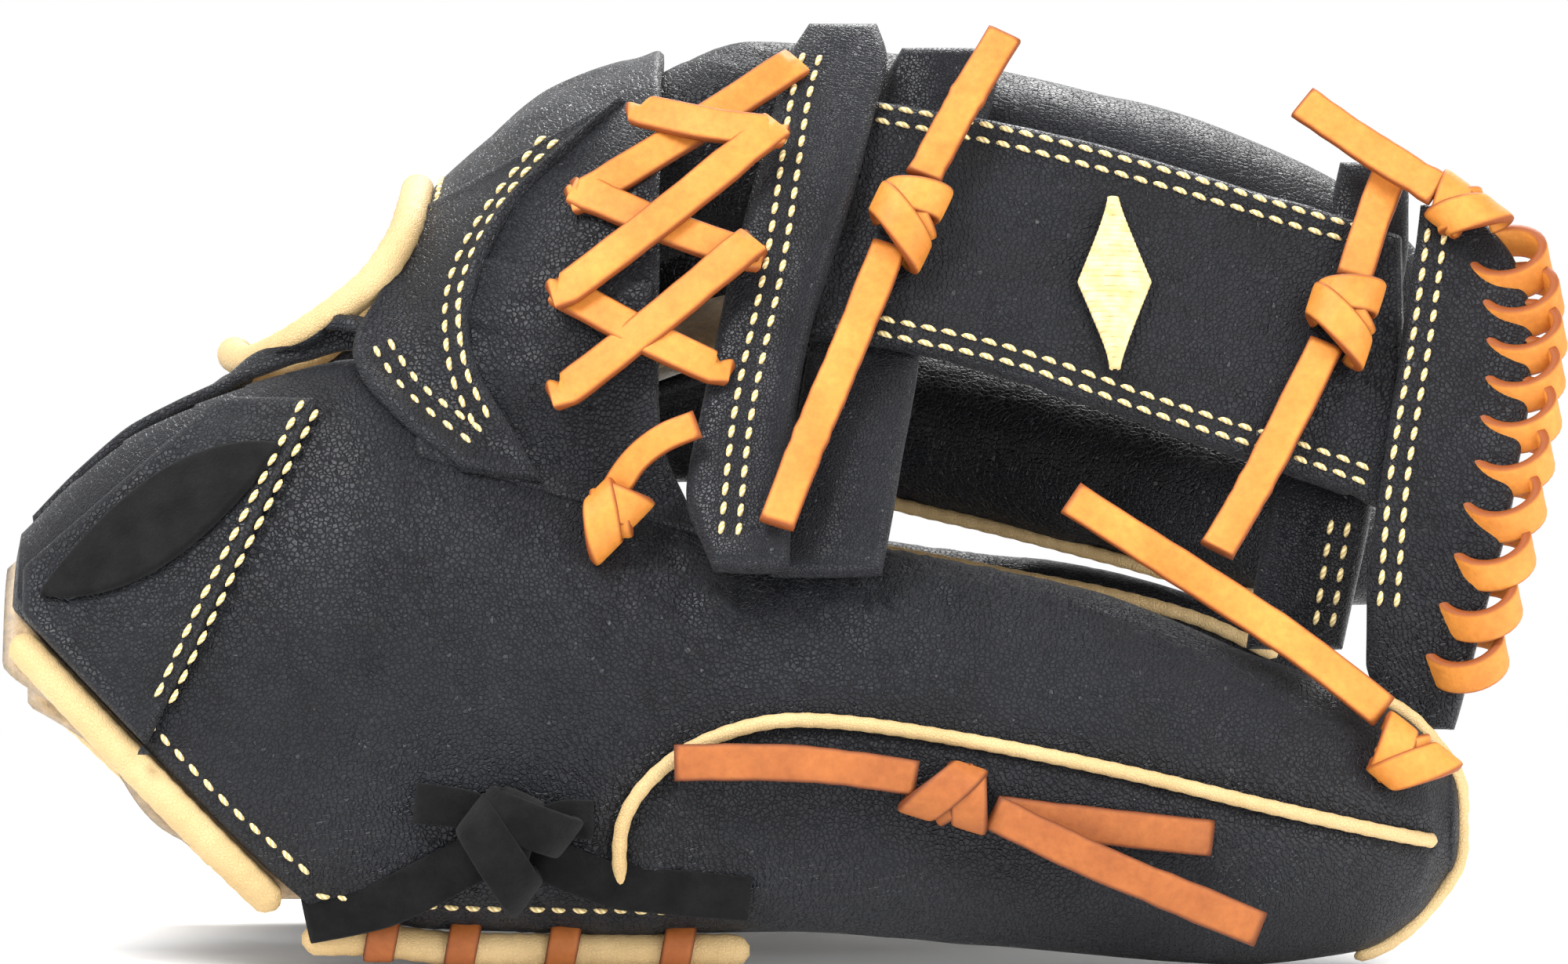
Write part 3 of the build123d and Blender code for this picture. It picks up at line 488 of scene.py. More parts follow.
def tree_of(piece):
    """A search tree over a piece's faces, in millimetres, kept for later."""
    if piece.name not in trees:
        mesh = piece.data
        co = np.zeros(len(mesh.vertices) * 3)
        mesh.vertices.foreach_get("co", co)
        polygons = [tuple(p.vertices) for p in mesh.polygons]
        trees[piece.name] = BVHTree.FromPolygons((co.reshape(-1, 3) / MM).tolist(), polygons)
    return trees[piece.name]


def lay_on(pieces, points, lift=0.0, look=(0, 1, 0), step=1.2):
    """A smooth line through places given as (x, z), dropped on the nearest of the pieces along look; returns
    its points and the surface's normals. Places that miss every piece are left out."""
    look = Vector(look).normalized()
    across = Vector((1, 0, 0))
    rise = Vector((0, 0, 1)) if abs(look.z) < 0.7 else Vector((0, 1, 0))
    line = smooth_line(np.array([(a, b, 0) for a, b in points], float), step)
    found, normals = [], []
    for a, b, _ in line:
        start = across * a + rise * b - look * 400
        hits = [tree_of(p).ray_cast(start, look) for p in pieces]
        hits = [h for h in hits if h[0] is not None]
        if hits:
            place, normal, _, _ = min(hits, key=lambda h: h[3])
            found.append(place)
            normals.append(normal if normal.dot(look) < 0 else -normal)
    found, normals = np.array(found), np.array(normals)
    if len(found) > 6:
        kernel = np.ones(5) / 5
        widened = np.pad(normals, ((2, 2), (0, 0)), mode="edge")
        normals = unit(np.stack([np.convolve(widened[:, i], kernel, "valid") for i in range(3)], 1))
    return found + normals * lift, normals


def beside(line, normals, offset):
    """A line moved sideways over its surface."""
    return line + unit(np.cross(directions(line), normals)) * offset


def stitch_rings(line, normals, pitch=STITCH_PITCH, length=2.9, width=1.05):
    """Thread stitches along a line: at each pitch a short bead, fat in its middle and sunk at both ends."""
    run = lengths(line)
    count = max(int(run[-1] / pitch), 1)
    at = (np.arange(count) + 0.5) * run[-1] / count
    place = np.stack([np.interp(at, run, line[:, i]) for i in range(3)], 1)
    normal = unit(np.stack([np.interp(at, run, normals[:, i]) for i in range(3)], 1))
    d = directions(line)
    ahead = unit(np.stack([np.interp(at, run, d[:, i]) for i in range(3)], 1))
    side = unit(np.cross(ahead, normal))
    ahead = unit(ahead + side * 0.10)
    s = np.linspace(-1, 1, 7)
    fat = np.sqrt(np.clip(1 - s**2 * 0.97, 0.0, 1))
    turn = np.linspace(0, 2 * np.pi, 8, endpoint=False)
    along = s[:, None] * length / 2 * np.ones(8)
    lateral = fat[:, None] * np.cos(turn) * width / 2
    raised = fat[:, None] * np.sin(turn) * width / 2 - (s**2)[:, None] * width * 0.42
    return (
        place[:, None, None]
        + ahead[:, None, None] * along[None, ..., None]
        + side[:, None, None] * lateral[None, ..., None]
        + normal[:, None, None] * raised[None, ..., None]
    )


def sew(name, runs, body, material, **size):
    """Rows of stitches as one piece; each run is a line and its normals."""
    beads = np.concatenate([stitch_rings(line, normal, **size) for line, normal in runs if len(line) > 3])
    count, rings, sides = beads.shape[:3]
    one = grid_quads(rings, sides, closed=True)
    quads = (one[None] + (np.arange(count) * rings * sides)[:, None, None]).reshape(-1, 4)
    uv = np.stack(np.meshgrid(np.linspace(0, 1, sides), np.linspace(0, 1, rings)), -1)
    uv = np.broadcast_to(uv, (count, rings, sides, 2)).reshape(-1, 2)
    piece = make_mesh(name, beads, quads, material, uv=uv, join=False)
    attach(piece, body)
    return piece


def done(piece, body, slot, *nodes):
    """A finished piece rides on its body and stands for its nodes, which are hidden; slot is not used."""
    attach(piece, body)
    if nodes:
        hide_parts(*nodes)
    return piece


# ---------------------------------------------------------------- materials
def node(tree, kind, **values):
    """A shader node with its named inputs set."""
    made = tree.nodes.new(kind)
    for key, value in values.items():
        made.inputs[key.replace("_", " ")].default_value = value
    return made


def ramp(tree, source, low, high, dark, light):
    """A colour ramp between two colours, over a range of its source."""
    made = tree.nodes.new("ShaderNodeValToRGB")
    made.color_ramp.elements[0].position, made.color_ramp.elements[1].position = low, high
    made.color_ramp.elements[0].color, made.color_ramp.elements[1].color = (*dark, 1), (*light, 1)
    tree.links.new(source, made.inputs["Fac"])
    return made.outputs["Color"]


def mix(tree, factor, a, b, way="MIX"):
    """Two colours mixed by a factor; each is a colour or another node's output."""
    made = tree.nodes.new("ShaderNodeMix")
    made.data_type, made.blend_type = "RGBA", way
    for socket, value in ((made.inputs[0], factor), (made.inputs[6], a), (made.inputs[7], b)):
        if isinstance(value, bpy.types.NodeSocket):
            tree.links.new(value, socket)
        else:
            socket.default_value = value if not isinstance(value, tuple) else (*value, 1)
    return made.outputs[2]


def raise_bump(tree, height, strength, distance, under=None):
    """A bump from a height, over another bump."""
    made = node(tree, "ShaderNodeBump", Strength=strength, Distance=distance)
    tree.links.new(height, made.inputs["Height"])
    if under is not None:
        tree.links.new(under, made.inputs["Normal"])
    return made.outputs["Normal"]


def new_material(name):
    """An empty material with its shader and the object's coordinates."""
    material = bpy.data.materials.new(name)
    material.use_nodes = True
    tree = material.node_tree
    place = tree.nodes.new("ShaderNodeTexCoord").outputs["Object"]
    return material, tree, tree.nodes["Principled BSDF"], place


def texture(tree, kind, place, scale, **values):
    """A texture node read at the object's coordinates."""
    made = node(tree, kind, Scale=scale, **values)
    tree.links.new(place, made.inputs["Vector"])
    return made


def leather(name, dark, light, worn, rough=(0.36, 0.56), grain=1150, depth=0.00045, crease=0.0005,
        sheen=0.0):
    """Grain leather: cells of pebble grain crossed by fine creases, cloudy colour, and paler worn edges."""
    material, tree, shader, place = new_material(name)
    cells = texture(tree, "ShaderNodeTexVoronoi", place, grain, Randomness=1.0)
    cells.feature = "DISTANCE_TO_EDGE"
    fine = texture(tree, "ShaderNodeTexNoise", place, grain * 1.9, Detail=3.0)
    cloud = texture(tree, "ShaderNodeTexNoise", place, 46, Detail=6.0, Roughness=0.6)
    lines = texture(tree, "ShaderNodeTexNoise", place, 210, Detail=5.0, Distortion=1.4)
    colour = ramp(tree, cloud.outputs["Fac"], 0.32, 0.72, dark, light)
    wear = tree.nodes.new("ShaderNodeAttribute")
    wear.attribute_name = "edge"
    patchy = node(tree, "ShaderNodeMath")
    patchy.operation = "MULTIPLY"
    tree.links.new(wear.outputs["Fac"], patchy.inputs[0])
    tree.links.new(lines.outputs["Fac"], patchy.inputs[1])
    colour = mix(tree, patchy.outputs[0], colour, worn)
    tree.links.new(colour, shader.inputs["Base Color"])
    span = node(tree, "ShaderNodeMapRange", From_Min=0.3, From_Max=0.7, To_Min=rough[0], To_Max=rough[1])
    tree.links.new(lines.outputs["Fac"], span.inputs["Value"])
    tree.links.new(span.outputs["Result"], shader.inputs["Roughness"])
    pebble = node(tree, "ShaderNodeMapRange", From_Min=0.0, From_Max=0.16)
    tree.links.new(cells.outputs["Distance"], pebble.inputs["Value"])
    normal = raise_bump(tree, pebble.outputs["Result"], 0.8, depth)
    normal = raise_bump(tree, lines.outputs["Fac"], 0.5, crease, normal)
    normal = raise_bump(tree, fine.outputs["Fac"], 0.35, depth * 0.6, normal)
    tree.links.new(normal, shader.inputs["Normal"])
    shader.inputs["Specular IOR Level"].default_value = 0.3
    if sheen:
        shader.inputs["Sheen Weight"].default_value = sheen
        shader.inputs["Sheen Roughness"].default_value = 0.5
    return material


def suede(name, dark, light, fuzz=900, sheen=0.5, depth=0.0005):
    """Napped leather or fleece: matt, mottled, with a soft fibrous surface."""
    material, tree, shader, place = new_material(name)
    nap = texture(tree, "ShaderNodeTexNoise", place, fuzz, Detail=6.0, Roughness=0.75)
    cloud = texture(tree, "ShaderNodeTexNoise", place, fuzz * 0.12, Detail=4.0)
    colour = ramp(tree, cloud.outputs["Fac"], 0.3, 0.7, dark, light)
    flecks = ramp(tree, nap.outputs["Fac"], 0.35, 0.7, (0.55, 0.55, 0.55), (1.25, 1.25, 1.25))
    tree.links.new(mix(tree, 0.8, colour, flecks, "MULTIPLY"), shader.inputs["Base Color"])
    shader.inputs["Roughness"].default_value = 0.93
    shader.inputs["Sheen Weight"].default_value = sheen
    shader.inputs["Specular IOR Level"].default_value = 0.15
    tree.links.new(raise_bump(tree, nap.outputs["Fac"], 0.8, depth), shader.inputs["Normal"])
    return material


def lace_leather(name, dark, light, edge_dark):
    """Rawhide lace: smooth warm face with faint fibres, and rough darker cut edges."""
    material, tree, shader, place = new_material(name)
    fibre = texture(tree, "ShaderNodeTexNoise", place, 700, Detail=6.0, Roughness=0.65)
    cloud = texture(tree, "ShaderNodeTexNoise", place, 85, Detail=4.0)
    colour = ramp(tree, cloud.outputs["Fac"], 0.3, 0.7, dark, light)
    flecks = ramp(tree, fibre.outputs["Fac"], 0.3, 0.7, (0.78, 0.74, 0.7), (1.1, 1.1, 1.1))
    colour = mix(tree, 0.7, colour, flecks, "MULTIPLY")
    wear = tree.nodes.new("ShaderNodeAttribute")
    wear.attribute_name = "edge"
    strong = node(tree, "ShaderNodeMapRange", From_Min=0.25, From_Max=0.9)
    tree.links.new(wear.outputs["Fac"], strong.inputs["Value"])
    tree.links.new(mix(tree, strong.outputs["Result"], colour, edge_dark), shader.inputs["Base Color"])
    tree.links.new(raise_bump(tree, fibre.outputs["Fac"], 0.5, 0.00028), shader.inputs["Normal"])
    shader.inputs["Roughness"].default_value = 0.58
    shader.inputs["Specular IOR Level"].default_value = 0.35
    return material


def thread(name, dark, light):
    """Waxed twisted thread: a slanted wave of two strands along each stitch, its colour darkened in the
    grooves between the strands as painted shade.
    """
    material, tree, shader, _ = new_material(name)
    run = tree.nodes.new("ShaderNodeUVMap")
    run.uv_map = "run"
    wave = node(tree, "ShaderNodeTexWave", Scale=1.6, Distortion=0.4)
    wave.bands_direction = "DIAGONAL"
    tree.links.new(run.outputs["UV"], wave.inputs["Vector"])
    # The colour follows the same wave as the bump: darker where the wave is low, which is painted shade in
    # the grooves between the strands.
    tree.links.new(ramp(tree, wave.outputs["Fac"], 0.2, 0.7, dark, light), shader.inputs["Base Color"])
    tree.links.new(raise_bump(tree, wave.outputs["Fac"], 0.6, 0.0002), shader.inputs["Normal"])
    shader.inputs["Roughness"].default_value = 0.5
    return material


black = leather("black_leather", (0.0035, 0.004, 0.0062), (0.0095, 0.0105, 0.015), (0.03, 0.031, 0.036),
    sheen=0.03)
smooth_black = leather(
    "rolled_black_leather", (0.004, 0.0045, 0.007), (0.011, 0.012, 0.017), (0.028, 0.029, 0.034),
    rough=(0.3, 0.46), grain=1600, depth=0.0003, crease=0.0003, sheen=0.03,
)
raw_edge = suede("black_suede", (0.003, 0.003, 0.0035), (0.010, 0.010, 0.011), fuzz=1600, sheen=0.05)
tan = lace_leather("tan_lace", (0.56, 0.19, 0.025), (0.74, 0.29, 0.05), (0.26, 0.062, 0.01))
brown = lace_leather("brown_lace", (0.30, 0.082, 0.018), (0.43, 0.135, 0.03), (0.14, 0.033, 0.008))
cream = leather(
    "cream_leather", (0.56, 0.38, 0.17), (0.70, 0.51, 0.26), (0.42, 0.27, 0.12),
    rough=(0.5, 0.66), grain=1500, depth=0.00010, crease=0.00018,
)
fleece = suede("tan_lining", (0.42, 0.27, 0.13), (0.66, 0.47, 0.26), fuzz=620, sheen=0.5, depth=0.0008)
felt = suede("felt_pad", (0.55, 0.50, 0.42), (0.72, 0.68, 0.60), fuzz=480, sheen=0.3)
# The darker of the thread's two colours is painted shade in the grooves between its strands.
cream_thread = thread("cream_thread", (0.62, 0.44, 0.16), (0.92, 0.76, 0.42))


# ---------------------------------------------------------------- camera, light and floor
def set_stage():
    """A long-lens camera square to the thumb side, a pale floor and three soft lights."""
    height = (cad_high.z + cad_low.z) / 2
    camera = bpy.data.objects.new("camera", bpy.data.cameras.new("camera"))
    distance, tilt = CAMERA_DISTANCE, np.radians(CAMERA_TILT)
    camera.location = (0, -distance * np.cos(tilt), height + distance * np.sin(tilt))
    camera.rotation_euler = (np.pi / 2 - tilt, 0, 0)
    camera.data.sensor_width = SENSOR_WIDTH
    camera.data.lens = SENSOR_WIDTH * (distance - FRONT_REACH) / FRAME_WIDTH
    camera.data.clip_end = 50
    bpy.context.scene.collection.objects.link(camera)
    bpy.context.scene.camera = camera
    floor = bpy.data.objects.new("floor", bpy.data.meshes.new("floor"))
    floor.data.from_pydata([(-FLOOR, -FLOOR, 0), (FLOOR, -FLOOR, 0), (FLOOR, FLOOR, 0),
        (-FLOOR, FLOOR, 0)], [], [(0, 1, 2, 3)])
    pale, _, shader, _ = new_material("pale_floor")
    shader.inputs["Base Color"].default_value = (0.97, 0.97, 0.97, 1)
    shader.inputs["Roughness"].default_value = 0.9
    floor.data.materials.append(pale)
    bpy.context.scene.collection.objects.link(floor)
    for name, place, size, power in (
        ("key_light", (-0.6, -0.8, 1.3), 0.6, 26), ("fill_light", (1.0, -0.9, 0.5), 0.8, 9),
        ("back_light", (0.3, 1.1, 1.2), 0.8, 26),
    ):
        data = bpy.data.lights.new(name, "AREA")
        data.energy, data.size = power, size
        lamp = bpy.data.objects.new(name, data)
        lamp.location = place
        aim = Vector((0, 0, height)) - Vector(place)
        lamp.rotation_euler = aim.to_track_quat("-Z", "Y").to_euler()
        bpy.context.scene.collection.objects.link(lamp)
    world = bpy.data.worlds.new("world")
    world.use_nodes = True
    world.node_tree.nodes["Background"].inputs["Color"].default_value = (1, 1, 1, 1)
    world.node_tree.nodes["Background"].inputs["Strength"].default_value = 1.0
    bpy.context.scene.world = world
    bpy.context.scene.view_settings.view_transform = "Standard"


set_stage()


# ---------------------------------------------------------------- free lace ends
def on_skin(x, z, reach, out):
    """A place in front of the thumb's skin, clear of it for a reach above and below."""
    y = min(skin(THUMB, x, z + shift, -1, out)[1] for shift in (-reach, 0, reach))
    return (x, float(y), z)


LOOP_OUT = 2.6 + LACE_THICK / 2 + 0.5
ENDS = {
    "end_web_base_up": ([(24.5, -41.5, 138), (29, -35.5, 146.5), (34, -30, 155), (39, -25.5, 163)],
    (0, -1, 0.6)),
    "end_web_base_down": (
        [(18.5, -45.5, 126), (13.2, -55, 113), (8, -64, 101), (3, -71, 89.5), (-1.3, -77.6, 78.3)],
        (0, -1, 0.5),
    ),
    "end_web_top_down": (
        [(95.5, -35, 108.5), (90, -41, 97.8), (84.3, -47, 87.3), (79.5, -51.5, 79), (75.6, -55, 72.9)],
        (0, -1, 0.5),
    ),
    "end_index_tip": ([(115.5, -28, 135.5), (108, -25.5, 140), (99.8, -23, 145.3), (91.8, -20.5, 151)],
    (0, -1, 0.4)),
    "end_thumb_tip": (
        [(104.5, -61.5, 45), (92.5, -63, 54.8), (78, -63.5, 64.5), (63, -63, 74), (50, -60.5, 82.3)],
        (0, -1, 0.3),
    ),
    "end_thumb_loop_left": (
        [on_skin(x, z, 3, LOOP_OUT) for x, z in ((23, 34.4), (9.5, 36.6), (-5, 37.4), (-19, 37.1))],
        (0, -1, 0.1),
    ),
    "end_thumb_loop_right": (
        [on_skin(36, 28.6, 3, LOOP_OUT), (50, -81, 21.6), (66, -81, 15), (82.4, -78.5, 8.1)], (0, -1, 0.1),
    ),
}


def route_line(points):
    """The smooth line of a lace's route: an order 3 NURBS spline with the route's points as controls."""
    curve = bpy.data.curves.new("route", "CURVE")
    curve.dimensions = "3D"
    curve.resolution_u = 16
    spline = curve.splines.new("NURBS")
    spline.points.add(len(points) - 1)
    spline.points.foreach_set("co", np.array([(x * MM, y * MM, z * MM, 1) for x, y, z in points]).ravel())
    spline.order_u = 3
    spline.use_endpoint_u = True
    holder = bpy.data.objects.new("route", curve)
    bpy.context.scene.collection.objects.link(holder)
    mesh = bpy.data.meshes.new_from_object(holder)
    line = np.array([v.co for v in mesh.vertices]) / MM
    bpy.data.objects.remove(holder)
    return line


def free_ends():
    """The laces' free ends, as flat ribbons along their routes."""
    for seed, (name, (points, face)) in enumerate(ENDS.items()):
        line = route_line(points)
        thumb = name.startswith("end_thumb")
        loop = "loop" in name
        piece = ribbon(f"{name}_lace", line, face, brown if loop else tan, seed=seed + 3)
        done(piece, "thumb_side" if thumb else "hand", "brown_lace" if loop else "tan_lace", name)


free_ends()


# ---------------------------------------------------------------- edge stalls: thumb and little finger
WRIST_SUM = {-1: -72.5, 1: -87.0}  # x + z along each slanted wrist edge
MOUTH_Z, MOUTH_END = 60.0, -40.0
THUMB_SEAM = [
    (-28.4, 11), (-27.7, 27), (-19, 37.6), (-5.4, 43.4), (9, 44), (32, 40.7), (58, 35.4), (84, 29),
    (104, 24.2), (114, 22),
]
LITTLE_SEAM = [(-28, 12), (-26, 28), (-16, 39), (0, 44), (24, 43), (48, 39.5), (70, 36.5), (88, 34),
    (99, 33)]
POCKET_SEAM = [(-12, 70), (6, 70.5), (24, 67.5), (42, 64), (60, 60.5), (76, 56), (90, 49.5)]
HEEL_RUN = (-84, -72, -58, -40, -22, -6)


def tube_grid(rows, start, out=0.0, along=180, round_=120, dome=2.0):
    """A stall's surface from a start at each angle to a domed tip: x runs out faster towards the tip, and the
    last rings shrink by a cosine as they move on by a sine."""
    angle = np.arange(round_) * 2 * np.pi / round_
    last = rows[-1][0]
    s = (1 - (1 - np.linspace(0, 1, along)) ** 1.3)[:, None]
    x = start + (last - start) * s
    body = oval(rows, x, angle[None] + 0 * x, out)
    if not dome:
        return body, angle
    turn = np.radians(np.linspace(10, 90, 9))[:, None]
    cap = oval(rows, last + 0 * turn * angle, angle[None] + 0 * turn, out, np.cos(turn))
    cap[..., 0] = last + dome * np.sin(turn)
    return np.concatenate([body, cap]), angle


def wrist_start(rows, side, out=0.0, past=0.0):
    """Where each angle of an edge stall starts: on the slanted line where x and z add up to one sum."""
    angle = np.arange(120) * 2 * np.pi / 120
    x = np.full(120, -110.0)
    for _ in range(60):
        x = 0.5 * x + 0.5 * np.clip(WRIST_SUM[side] - oval(rows, x, angle, out)[:, 2], -136, -20)
    return x - past


def mouth_gone(grid, side):
    """The upper inner corner of an edge stall near the wrist, where the hand passes in."""
    inner = grid[..., 1] * -side > -40
    return (grid[..., 0] < MOUTH_END) & (grid[..., 2] > MOUTH_Z) & inner


def seam_groove(grid, seam, side, middle):
    """A soft groove along a seam given as (x, z), on one side of a stall."""
    line = smooth_line(np.array([(x, z, 0) for x, z in seam], float), 3.0)[:, :2]
    flat_grid = grid[..., [0, 2]].reshape(-1, 1, 2)
    away = np.concatenate([
        np.linalg.norm(block - line[None], axis=2).min(1) for block in np.array_split(flat_grid, 12)
    ]).reshape(grid.shape[:2])
    outer = (grid[..., 1] - middle) * side > 0
    return np.where(outer, -1.0 * np.exp(-((away / 2.4) ** 2)) + 0.55
        * np.exp(-(((away - 5) / 3.5) ** 2)), 0)


def creases(x, z, seed, low=0.1, high=0.5):
    """Sharp folds: thin valleys where a ripple crosses nought."""
    return -np.exp(-((ripple(x, z, seed, 5, low, high) / 0.16) ** 2))


def edge_shell(name, rows, side, seam, places, seed):
    """The outer leather of the thumb or the little finger, dented at its seam and creased where it folds;
    places are (x, z, wide, high, depth) of the creased patches."""
    grid, _ = tube_grid(rows, wrist_start(rows, side)[None])
    normal = -grid_normals(grid, closed=True)
    x, z = grid[..., 0], grid[..., 2]
    lift = 0.35 * ripple(x, z, seed, 6, 0.02, 0.08) + seam_groove(grid, seam, side, rows[6][1])
    for at_x, at_z, wide, high, depth in places:
        patch = bump(x, z, at_x, at_z, wide, high)
        lift = lift + depth * patch * (creases(x, z, seed + int(wide)) + 0.5 * ripple(x, z, seed + 9, 6,
            0.1, 0.35))
    grid = grid + normal * np.minimum(lift, 0.9)[..., None]
    return slab(name, grid, SHELL, black, closed=True, gone=mouth_gone(grid, side), flip=True)


def edge_layer(name, rows, side, inset, thick, material, past=0.0, lobes=0.0):
    """A layer inside an edge stall: the same tube, inset, running past the wrist edge in soft lobes."""
    angle = np.arange(120) * 2 * np.pi / 120
    start = wrist_start(rows, side, -inset, past) - lobes * np.abs(np.sin(3.5 * angle))
    grid, _ = tube_grid(rows[:-2], np.clip(start, -137, 0)[None], -inset, along=90, dome=0)
    return slab(name, grid, thick, material, closed=True, gone=mouth_gone(grid, side), flip=True)


def heel_cushion(name, rows, side, inset, thick):
    """The felt heel pad: a crowned sheet inside the palm side of an edge stall."""
    x = np.linspace(-92, 3, 60)[:, None]
    lows = np.radians(np.linspace(-85, 25, 40))[None] if side > 0 else np.radians(np.linspace(265, 155,
        40))[None]
    grid = oval(rows, x + 0 * lows, lows + 0 * x, -inset)
    piece = slab(name, grid, thick, felt, round_over=6.0, flip=side > 0)
    return piece


thumb_leather = done(
    edge_shell("thumb_leather", THUMB, -1, THUMB_SEAM, [
        (-6, 70, 30, 12, 1.0), (-46, 24, 20, 15, 0.8), (20, 64, 24, 8, 0.5), (-70, 60, 30, 26, 0.3),
        (70, 40, 40, 14, 0.25),
    ], 11), "thumb_side", "black_leather", "thumb_stall",
)
little_leather = done(
    edge_shell("little_finger_leather", LITTLE, 1, LITTLE_SEAM, [
        (-10, 66, 28, 12, 0.9), (-40, 24, 22, 15, 0.6), (30, 60, 24, 8, 0.4), (-70, 60, 30, 26, 0.3),
    ], 23), "little_side", "black_leather", "little_stall",
)
for label, rows, side, body in (("thumb", THUMB, -1, "thumb_side"), ("little", LITTLE, 1, "little_side")):
    lining = edge_layer(f"{label}_fleece", rows, side, SHELL + 0.5, 1.6, fleece, past=5.0, lobes=4.5)
    done(lining, body, "tan_lining", f"{label}_lining")
    pad = heel_cushion(f"{label}_heel_felt", rows, side, 6.6, 3.6)
    done(pad, body, "felt_pad", f"{label}_heel_pad")


def on_rim(rows, x, degrees, out=0.0):
    """Places round a stall's oval, at an angle from +Y towards +Z."""
    x = np.asarray(x, float)
    return oval(rows, x, np.radians(degrees) + 0 * x, out)


def heel_binding(label, rows, side, body):
    """The rolled binding along a stall's heel and its lace loops."""
    line = smooth_line(on_rim(rows, HEEL_RUN, -90, 3.1), 1.0)
    face = (0, side, 0)
    done(roll(f"{label}_heel_roll", line, 6.0, cream, face, pucker=0.05), body, "cream_leather",
        f"{label}_heel_binding")
    parts = []
    for x in (-70, -56, -38.5, -18.5):
        place = on_rim(rows, [x], -90, 3.1)[0] + (0, 0, 0.7)
        parts.append(wrap(place, (1, 0, 0), face, 3.6, 3.4, width=5.4, skew=0.7 * side,
            sweep=(-175, 185), thick=1.7))
    done(several(f"{label}_heel_loops", parts, brown), body, "brown_lace", f"{label}_heel_lace")


def wrist_roll(label, rows, side, body):
    """The cream binding rolled over the slanted wrist edge."""
    share = np.linspace(0.04, 1.0, 9)
    x0, z0, x1, z1 = (-134, 61.5, -86, 13.5) if side < 0 else (-134, 47, -100, 13)
    x, z = x0 + (x1 - x0) * share, z0 + (z1 - z0) * share
    line = skin(rows, x, z, side, -SHELL / 2)
    line[:, [0, 2]] -= 2.25
    piece = roll(f"{label}_wrist_roll", smooth_line(line, 1.0), 6.2, cream, (0, side, 0), pucker=0.05)
    done(piece, body, "cream_leather", f"wrist_binding_{label}")


for label, rows, side, body in (("thumb", THUMB, -1, "thumb_side"), ("little", LITTLE, 1, "little_side")):
    heel_binding(label, rows, side, body)
    wrist_roll(label, rows, side, body)


def welt_on(name, rows, seam, side, body, node_name):
    """Piping sewn into a seam: a cream cord along places on a stall's skin."""
    flat_line = smooth_line(np.array([(x, z, 0) for x, z in seam], float), 1.0)
    line = skin(rows, flat_line[:, 0], flat_line[:, 1], side, 0.7)
    return done(roll(name, line, 2.7, cream, (0, side, 0), pucker=0.10), body, "cream_leather", node_name)


welt_on("thumb_piping", THUMB, THUMB_SEAM, -1, "thumb_side", "thumb_welt")
welt_on("little_piping", LITTLE, LITTLE_SEAM, 1, "little_side", "little_welt")
welt_on("little_pocket_piping", LITTLE, POCKET_SEAM, -1, "little_side", "little_pocket_welt")
tip = [
    *on_rim(THUMB, [100, 107, 112], 90, 0.9), (118.2, -46.5, 33), (118.9, -46.5, 25), (118.2, -46.5, 17),
    *on_rim(THUMB, [112, 106, 100], -90, 0.9),
]
done(
    roll("thumb_tip_piping", smooth_line(tip, 1.0), 2.7, cream, (0, -1, 0), pucker=0.10),
    "thumb_side", "cream_leather", "thumb_tip_welt",
)


# ---------------------------------------------------------------- long fingers
def finger(label, rows, seed):
    """A long finger's stall: a domed tube, softly dented, with a piping under its far side."""
    grid, _ = tube_grid(rows, np.full((1, 96), float(rows[0][0])), along=120, round_=96, dome=3.0)
    normal = -grid_normals(grid, closed=True)
    x, y, z = np.moveaxis(grid, -1, 0)
    lift = 0.4 * ripple(x, z + y, seed, 6, 0.03, 0.10) + 0.35 * bump(x, 0, 10, 0, 30, 1) * creases(x,
        z + y, seed + 1)
    grid = grid + normal * np.minimum(lift, 0.6)[..., None]
    piece = slab(f"{label}_finger_leather", grid, SHELL, black, closed=True, flip=True)
    done(piece, "hand", "black_leather", f"{label}_stall")
    run = np.linspace(rows[0][0] + 19, rows[0][0] + 115, 40)
    cord = roll(f"{label}_piping", smooth_line(on_rim(rows, run, -112, 0.9), 1.0), 2.7, cream,
        (0, -1, 0), pucker=0.10)
    done(cord, "hand", "cream_leather", f"{label}_welt")
    return piece


fingers = [finger(label, rows, seed) for label, rows, seed in (("index", INDEX, 31),
    ("middle", MIDDLE, 37), ("ring", RING, 41))]


# ---------------------------------------------------------------- hand: back, palm, strap
def arch_piece(name, rows, thick, material, lift=0.0, x_span=None, share=(0.0, 1.0), seed=5, rough=0.25,
        along=70, wide=90, **how):
    """A curved panel of the hand, softly dented."""
    x0, x1 = x_span or (rows[0][0], rows[-1][0])
    x = (x0 + (x1 - x0) * even(along, 0.5))[:, None]
    s = (share[0] + (share[1] - share[0]) * even(wide, 0.5))[None]
    grid = arch(rows, x, s, lift)
    lump = rough * ripple(grid[..., 0], grid[..., 1] + grid[..., 2], seed, 6, 0.04, 0.16)
    return slab(name, grid + grid_normals(grid) * lump[..., None], thick, material, **how)


